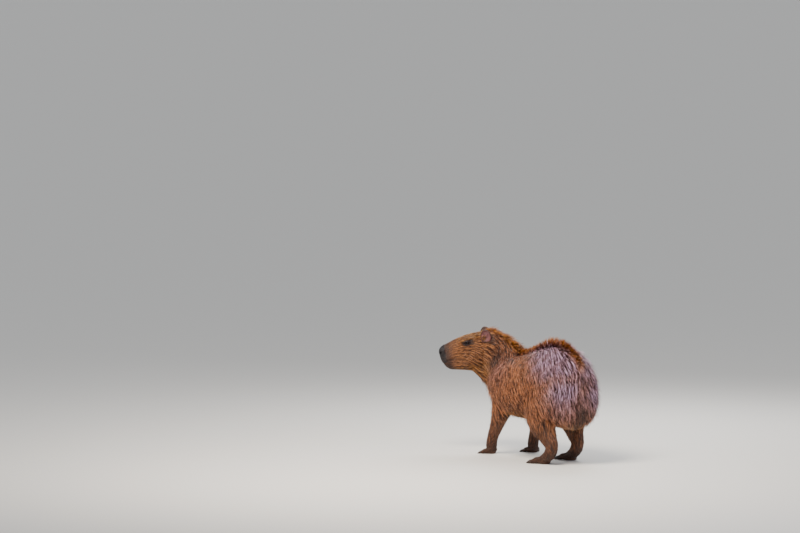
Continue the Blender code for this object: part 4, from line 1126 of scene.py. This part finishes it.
to_middle = math_on(taken["middle"], position, operation="SUBTRACT", kind=VECTORS)
planted = stored(roots.outputs["Points"], "root", position, "FLOAT_VECTOR")
planted = stored(planted, "gather", to_middle, "FLOAT_VECTOR")
planted = stored(planted, "tone", taken["tone"])
planted = stored(planted, "swing", taken["swing"])
planted = stored(planted, "own", random_on(0.0, 1.0, 13))

blade = add(
    coat_tree, "GeometryNodeMeshCone",
    {"Vertices": 3, "Side Segments": given["Segments"], "Radius Top": 0.0, "Radius Bottom": 1.0, "Depth": 1.0},
)
shaped = stored(blade.outputs["Mesh"], "tuft_shape", position, "FLOAT_VECTOR")
tufts = add(coat_tree, "GeometryNodeInstanceOnPoints", {"Points": planted, "Instance": shaped})
real = add(coat_tree, "GeometryNodeRealizeInstances", {"Geometry": tufts})

shape = add(coat_tree, "ShaderNodeSeparateXYZ", {0: kept["tuft_shape"]}).outputs
side_way = math_on(kept["out"], kept["lie"], operation="CROSS_PRODUCT", kind=VECTORS)
size = math_on(kept["own"], 0.42, 0.76, operation="MULTIPLY_ADD")
long = math_on(kept["hair_length"], size, operation="MULTIPLY")
run = math_on(long, shape["Z"], operation="MULTIPLY")
stray = math_on(math_on(kept["own"], 0.90, operation="SUBTRACT"), math_on(given["Strays"], 10.0, operation="MULTIPLY"),
                operation="MULTIPLY")
flung = math_on(kept["swing"], given["Looseness"], 1.0, operation="MULTIPLY_ADD")
loose = math_on(math_on(flung, 0.35, operation="MAXIMUM"), kept["stand"], operation="MULTIPLY")
angle = math_on(loose, math_on(stray, 0.0, operation="MAXIMUM"), operation="ADD")
advance = math_on(run, math_on(angle, operation="COSINE"), operation="MULTIPLY")
off_middle = math_on(kept["gather"], side_way, operation="DOT_PRODUCT", kind=VECTORS).outputs["Value"]
eased = math_on(shape["Z"], 0.8, operation="POWER")
drawn_in = math_on(math_on(off_middle, given["Gather"], operation="MULTIPLY"), eased, operation="MULTIPLY")
swinging = math_on(math_on(kept["swing"], run, operation="MULTIPLY"), 0.10, operation="MULTIPLY")
sideways = math_on(drawn_in, swinging, operation="ADD")
forward = add(coat_tree, VECTORS, {0: kept["lie"], "Scale": advance}, operation="SCALE")
across = add(coat_tree, VECTORS, {0: side_way, "Scale": sideways}, operation="SCALE")
trail = math_on(math_on(kept["root"], forward, operation="ADD", kind=VECTORS), across, operation="ADD", kind=VECTORS)
ground = add(coat_tree, "GeometryNodeProximity", {"Geometry": given["Skin"], "Sample Position": trail})
facing = add(
    coat_tree, "GeometryNodeSampleNearestSurface",
    {"Mesh": given["Skin"], "Value": kept["out"], "Sample Position": trail}, data_type="FLOAT_VECTOR",
)
rising = math_on(run, math_on(angle, operation="SINE"), operation="MULTIPLY")
droop = math_on(shape["Z"], -0.25, 1.0, operation="MULTIPLY_ADD")
lift = math_on(math_on(rising, droop, operation="MULTIPLY"), 0.0004, operation="SUBTRACT")
fuller = math_on(shape["Z"], 1.0, operation="ADD")
half = math_on(math_on(kept["hair_width"], 0.5, operation="MULTIPLY"), fuller, operation="MULTIPLY")
ridge = math_on(math_on(shape["X"], half, operation="MULTIPLY"), 0.42, operation="MULTIPLY")
rise = math_on(lift, ridge, operation="ADD")
upward = add(coat_tree, VECTORS, {0: facing, "Scale": rise}, operation="SCALE")
wide = math_on(shape["Y"], half, operation="MULTIPLY")
outward = add(coat_tree, VECTORS, {0: side_way, "Scale": wide}, operation="SCALE")
lifted = math_on(ground, upward, operation="ADD", kind=VECTORS)
spot = math_on(lifted, outward, operation="ADD", kind=VECTORS)
over_floor = math_on(spot, (-9.0, -9.0, 0.0008), operation="MAXIMUM", kind=VECTORS)
real = stored(real, "across_tuft", wide)
laid = add(coat_tree, "GeometryNodeSetPosition", {"Geometry": real, "Position": over_floor})
inside_patch = math_on(kept["tuft_shape"], (0.5, 0.5, 1.0), operation="MULTIPLY", kind=VECTORS)
patch = add(coat_tree, "ShaderNodeSeparateXYZ", {0: inside_patch}).outputs
patch_at = add(coat_tree, "ShaderNodeCombineXYZ", {"X": patch["Y"], "Y": patch["Z"]})
patched = add(coat_tree, VECTORS, {0: patch_at, "Scale": HAIR_PATCH}, operation="SCALE")
on_unwrap = math_on(kept["OFBake"], patched, operation="ADD", kind=VECTORS)
mapped = stored(laid, "OFBake", on_unwrap, "FLOAT2", "CORNER")
smooth = add(coat_tree, "GeometryNodeSetShadeSmooth", {"Geometry": mapped})
dressed = add(coat_tree, "GeometryNodeSetMaterial", {"Geometry": smooth, "Material": given["Hair"]})
coat_out = add(coat_tree, "NodeGroupOutput", {0: dressed})
sockets = {item.name: item.identifier for item in coat_tree.interface.items_tree if item.in_out == "INPUT"}



def streak(mesh, points_each, contrast, seed):
    """Shades each tuft as the tufts on ahead of it in one line, and apart from those on either side."""
    rows, read_rows = np.empty(len(mesh.vertices) * 3, dtype=np.float32), {}
    for name in ("root", "lie", "out"):
        mesh.attributes[name].data.foreach_get("vector", rows)
        read_rows[name] = rows.reshape(-1, 3)[::points_each].copy()
    roots, onward = read_rows["root"], read_rows["lie"]
    sideways = np.cross(read_rows["out"], onward)
    tree = KDTree(len(roots))
    for i, root in enumerate(roots):
        tree.insert(root, i)
    tree.balance()
    ahead, one_side, other_side = (
        np.array([tree.find(place)[1] for place in roots + step])
        for step in (onward * STREAK_STEP, sideways * STREAK_GAP, -sideways * STREAK_GAP)
    )
    shade = np.random.default_rng(seed).uniform(0, 1, len(roots))
    total, at = shade.copy(), ahead
    for _ in range(STREAK_TUFTS):
        total += shade[at]
        at = ahead[at]
    total = total - 0.42 * (total[one_side] + total[other_side])
    even = total.argsort().argsort() / len(total)
    keep(mesh, "streak", np.repeat(0.5 + contrast * (even - 0.5), points_each))


faces = skin.data.polygons
centres, facings = np.empty(len(faces) * 3), np.empty(len(faces) * 3)
faces.foreach_get("center", centres)
faces.foreach_get("normal", facings)
centres = centres.reshape(-1, 3) - np.array(set_down.translation)
facings = facings.reshape(-1, 3)
face_in_head = seen_from_head(centres)
x, y, z = centres.T
left = np.where(y > np.interp(x, *np.array(MIDLINE).T), 0, 1)
on_head = head_share(centres, face_in_head) > 0.5
on_crest = coat_on(centres, facings, face_in_head)["stand"] > 0.5
first = {name: i + 1 for i, name in enumerate(REGIONS)}
region = np.select(
    [
        on_crest,
        on_head,
        (z < 0.20) & (x > 0.02),
        z < 0.20,
        (z < 0.235) & (facings[:, 2] < -0.35),
        (x > 0.215),
        (x > 0.07),
        (x > -0.09),
        (x > -0.235),
    ],
    [
        first["crest"],
        first["coat_face_left"] + (face_in_head[:, 1] < 0),
        first["coat_forelegs"],
        first["coat_hindlegs"],
        first["coat_belly"],
        first["coat_neck_left"] + left,
        first["coat_shoulder_left"] + left,
        first["coat_flank_left"] + left,
        first["coat_hip_left"] + left,
    ],
    first["coat_rump_left"] + left,
)
skin.data.attributes.new("region", "INT", "FACE").data.foreach_set("value", region.astype(np.int32))
for index, (name, numbers) in enumerate(REGIONS.items()):
    tufts_per_m2, spacing, segments, gather, looseness, strays, contrast = numbers
    holder = bpy.data.objects.new("holder", skin.data)
    bpy.context.scene.collection.objects.link(holder)
    grow = holder.modifiers.new("tufts", "NODES")
    grow.node_group = coat_tree
    for label, value in (
        ("Region", index + 1), ("Tufts per Square Metre", float(tufts_per_m2)), ("Clump Spacing", spacing),
        ("Segments", segments), ("Gather", gather), ("Looseness", looseness), ("Strays", strays),
        ("Seed", 20 + index), ("Hair", hair),
    ):
        grow[sockets[label]] = value
    bpy.context.view_layer.update()
    grown = bpy.data.meshes.new_from_object(holder.evaluated_get(bpy.context.evaluated_depsgraph_get()))
    bpy.data.objects.remove(holder)
    streak(grown, 3 * segments + 1, contrast, 50 + index)
    piece = bpy.data.objects.new(name, grown)
    bpy.context.scene.collection.objects.link(piece)
    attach(piece, "root")

# The bristles. Stiff dark whiskers stand in rows on the upper lip, with a few on chin and brow and short
# lashes on the upper lid; soft golden hairs fill the ear's front notch and short dark ones cover its back.
# They are long thin cones, bent by their own weight.
WHISKER_ROWS = ((-0.034, 0.214, 5), (-0.041, 0.207, 6), (-0.048, 0.203, 6), (-0.055, 0.206, 5))
dice = np.random.default_rng(31)


def wobbled(way, amount):
    return (Vector(way) + Vector(dice.uniform(-amount, amount, 3))).normalized()


def bristles(name, host, host_bed, seeds, golden=0.0, dusky=0.0, steps=5, sides=3):
    """Tapering hairs on their host from their root, way, length, radius and sag, with what the shader reads."""
    points, faces, along, tones, places = [], [], [], [], []
    unwrapped = host.data.uv_layers["OFBake"].data
    for root, way, length, radius, sag in seeds:
        places.append(unwrapped[host.data.polygons[host_bed.find_nearest(root)[2]].loop_start].uv[:])
        first, tone = len(points), dice.uniform(0.1, 0.9)
        one = way.cross(Vector((0.3, 0.2, 1.0))).normalized()
        other = way.cross(one)
        for step in range(steps + 1):
            t = step / steps
            middle = root + way * (length * t) + sag * (length * t * t)
            for k in range(sides):
                angle = 2 * math.pi * k / sides
                points.append(middle + (one * math.cos(angle) + other * math.sin(angle)) * radius * (1 - 0.9 * t))
            along += [t] * sides
        tones += [tone] * (steps + 1) * sides
        for step in range(steps):
            for k in range(sides):
                a, b = first + step * sides + k, first + step * sides + (k + 1) % sides
                faces.append((a, b, b + sides, a + sides))
        faces.append([first + k for k in reversed(range(sides))])
        faces.append([first + steps * sides + k for k in range(sides)])
    made = mesh_object(name, points, faces)
    made.data.polygons.foreach_set("use_smooth", [True] * len(faces))
    keep(made.data, "tuft_shape", np.stack([np.zeros(len(along)), np.zeros(len(along)), along], axis=1))
    for label in ("tone", "own", "streak"):
        keep(made.data, label, tones)
    for label, share in (("golden", golden), ("dusky", dusky)):
        keep(made.data, label, [share] * len(points))
    corners = np.empty(len(made.data.loops), dtype=np.int32)
    made.data.loops.foreach_get("vertex_index", corners)
    each = (steps + 1) * sides
    patch = np.stack([corners % sides / sides, corners % each // sides / steps], axis=1) * HAIR_PATCH
    on_host = np.array(places)[corners // each] + patch
    made.data.uv_layers.new(name="OFBake").data.foreach_set("uv", on_host.ravel())
    made.data.materials.append(hair)
    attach(made, "root")
    return made


def on_face(x, z, side):
    """The place on the skin beside this point of the head's middle plane."""
    hit, _, _, _ = face_bed.ray_cast(Vector((x, side * 0.12, z)), Vector((0, -side, 0)))
    return hit - Vector((0, side * 0.001, 0))


down = head_turn.inverted() @ Vector((0, 0, -1))
seeds = []
for side in (1, -1):
    for z, first_x, count in WHISKER_ROWS:
        for k in range(count):
            x = first_x + 0.0075 * k + dice.uniform(-0.001, 0.001)
            length = 0.044 - 0.0045 * k + dice.uniform(-0.006, 0.006)
            seeds.append((on_face(x, z, side), wobbled((-0.55, side * 0.80, -0.18), 0.12), length, 0.00026, down * 0.22))
    for k in range(9):
        x = 0.168 + 0.008 * k
        z = -0.105 + 0.10 * ramp(x, 0.19, 0.25) * 0.2
        length = dice.uniform(0.014, 0.024)
        seeds.append((on_face(x, z, side), wobbled((-0.35, side * 0.25, -0.9), 0.15), length, 0.00022, down * 0.1))
    for k in range(5):
        root = on_face(0.118 + 0.008 * k, 0.016, side)
        seeds.append((root, wobbled((-0.6, side * 0.55, 0.55), 0.12), 0.026, 0.00020, down * 0.2))
    ring = almond(side, *LID_PATH, 0, count=72)
    for k in range(3, 33):
        hit, _, _, _ = face_bed.ray_cast(Vector((ring[k].x, side * 0.09, ring[k].z + 0.001)), Vector((0, -side, 0)))
        way = wobbled((0.1 * math.cos(math.tau * k / 72) - 0.15, side * 0.85, 0.30), 0.10)
        seeds.append((hit, way, 0.0085 + 0.002 * math.sin(math.tau * k / 72), 0.00016, down * 0.55))
whiskers = bristles("whiskers", skin, face_bed, seeds, dusky=1.0)
move(whiskers, set_down @ head_frame)
for word, side in (("left", 1), ("right", -1)):
    ear, ear_bed, spots, facing, hollow_side = ears[side]
    behind = np.flatnonzero((hollow_side < 0.1) & (spots[:, 2] > 0.012) & (facing[:, 1] * side < 0.1))
    seeds = []
    for k in dice.choice(behind, 900, replace=False):
        face_out = Vector(facing[k])
        way = Vector((-0.15, 0, 1)) - face_out * face_out.dot(Vector((-0.15, 0, 1)))
        if way.length > 0.2:
            way = wobbled(way.normalized() + face_out * 0.16, 0.12)
            seeds.append((Vector(spots[k]), way, dice.uniform(0.005, 0.008), 0.00034, -face_out * 0.12))
    back_hairs = bristles(f"ear_back_hairs_{word}", ear, ear_bed, seeds, dusky=0.7, steps=2)
    notch = np.flatnonzero((hollow_side > 0.5) & (spots[:, 2] < 0.036) & (spots[:, 0] > 0.002))
    seeds = []
    for k in dice.choice(notch, 240, replace=False):
        way = wobbled((-0.42, side * 0.30, 0.85), 0.22)
        seeds.append((Vector(spots[k]), way, dice.uniform(0.007, 0.018), 0.00026, Vector((0, -side * 0.15, 0))))
    notch_hairs = bristles(f"ear_notch_hairs_{word}", ear, ear_bed, seeds, golden=1.0, steps=3)
    for hairs in (back_hairs, notch_hairs):
        move(hairs, set_down @ ear_matrix(side))

# The studio. A plain pale floor, a large soft light over the near side, a weaker one from the far side and
# a pale sky, with the camera where the photograph was taken from: level with the back, a long way off.
FRAME_WIDTH = 800
METRES_PER_PIXEL = 0.0047
PHOTO_ANCHOR = (538, 457.6)
PHOTO_MIDDLE = (400, 266.5)
LENS, SENSOR = 0.200, 0.036
CAMERA_YAW, CAMERA_ELEVATION = math.radians(60), math.radians(4.5)

level = Vector((-math.sin(CAMERA_YAW), math.cos(CAMERA_YAW), 0))
right = Vector((-math.cos(CAMERA_YAW), -math.sin(CAMERA_YAW), 0))
back = level * math.cos(CAMERA_ELEVATION) + Vector((0, 0, math.sin(CAMERA_ELEVATION)))
up = Vector((0, 0, math.cos(CAMERA_ELEVATION))) - level * math.sin(CAMERA_ELEVATION)
across_px, down_px = PHOTO_MIDDLE[0] - PHOTO_ANCHOR[0], PHOTO_ANCHOR[1] - PHOTO_MIDDLE[1]
target = set_down.translation.copy()
target.z = 0
target += right * across_px * METRES_PER_PIXEL + up * down_px * METRES_PER_PIXEL
camera = bpy.data.objects.new("camera", bpy.data.cameras.new("camera"))
camera.data.lens, camera.data.sensor_width = LENS * 1000, SENSOR * 1000
camera.data.clip_end = 1000
camera.location = target + back * (METRES_PER_PIXEL * FRAME_WIDTH * LENS / SENSOR)
camera.rotation_euler = (-back).to_track_quat("-Z", "Y").to_euler()
bpy.context.scene.collection.objects.link(camera)
bpy.context.scene.camera = camera

paper, tree, shader = surface("pale_matt_paper", Roughness=0.85)
shader.inputs["Base Color"].default_value = hexed("#E2DFD9")
reach = 300
floor = mesh_object("floor", [(-reach, -reach, 0), (reach, -reach, 0), (reach, reach, 0), (-reach, reach, 0)], [(0, 1, 2, 3)])
floor.data.materials.append(paper)

subject = Vector((0, 0, 0.3))
for name, way, distance, size, watts, colour in (
    ("key", level * 0.75 - right * 0.45 + Vector((0, 0, 1.15)), 2.6, 1.1, 118, "#FFF3E4"),
    ("fill", level * 0.9 + right * 0.9 + Vector((0, 0, 0.35)), 5.4, 3.2, 84, "#E9EEFF"),
    ("far side", -level * 0.9 + right * 0.3 + Vector((0, 0, 1.0)), 2.6, 1.6, 60, "#FFFFFF"),
):
    lamp = bpy.data.objects.new(name, bpy.data.lights.new(name, "AREA"))
    lamp.data.energy, lamp.data.size = watts, size
    lamp.data.color = hexed(colour)[:3]
    lamp.location = subject + way.normalized() * distance
    lamp.rotation_euler = (subject - lamp.location).to_track_quat("-Z", "Y").to_euler()
    bpy.context.scene.collection.objects.link(lamp)
sky = bpy.data.worlds.new("pale sky")
sky.use_nodes = True
sky.node_tree.nodes["Background"].inputs["Color"].default_value = hexed("#E8ECF2")
sky.node_tree.nodes["Background"].inputs["Strength"].default_value = 0.72
bpy.context.scene.world = sky
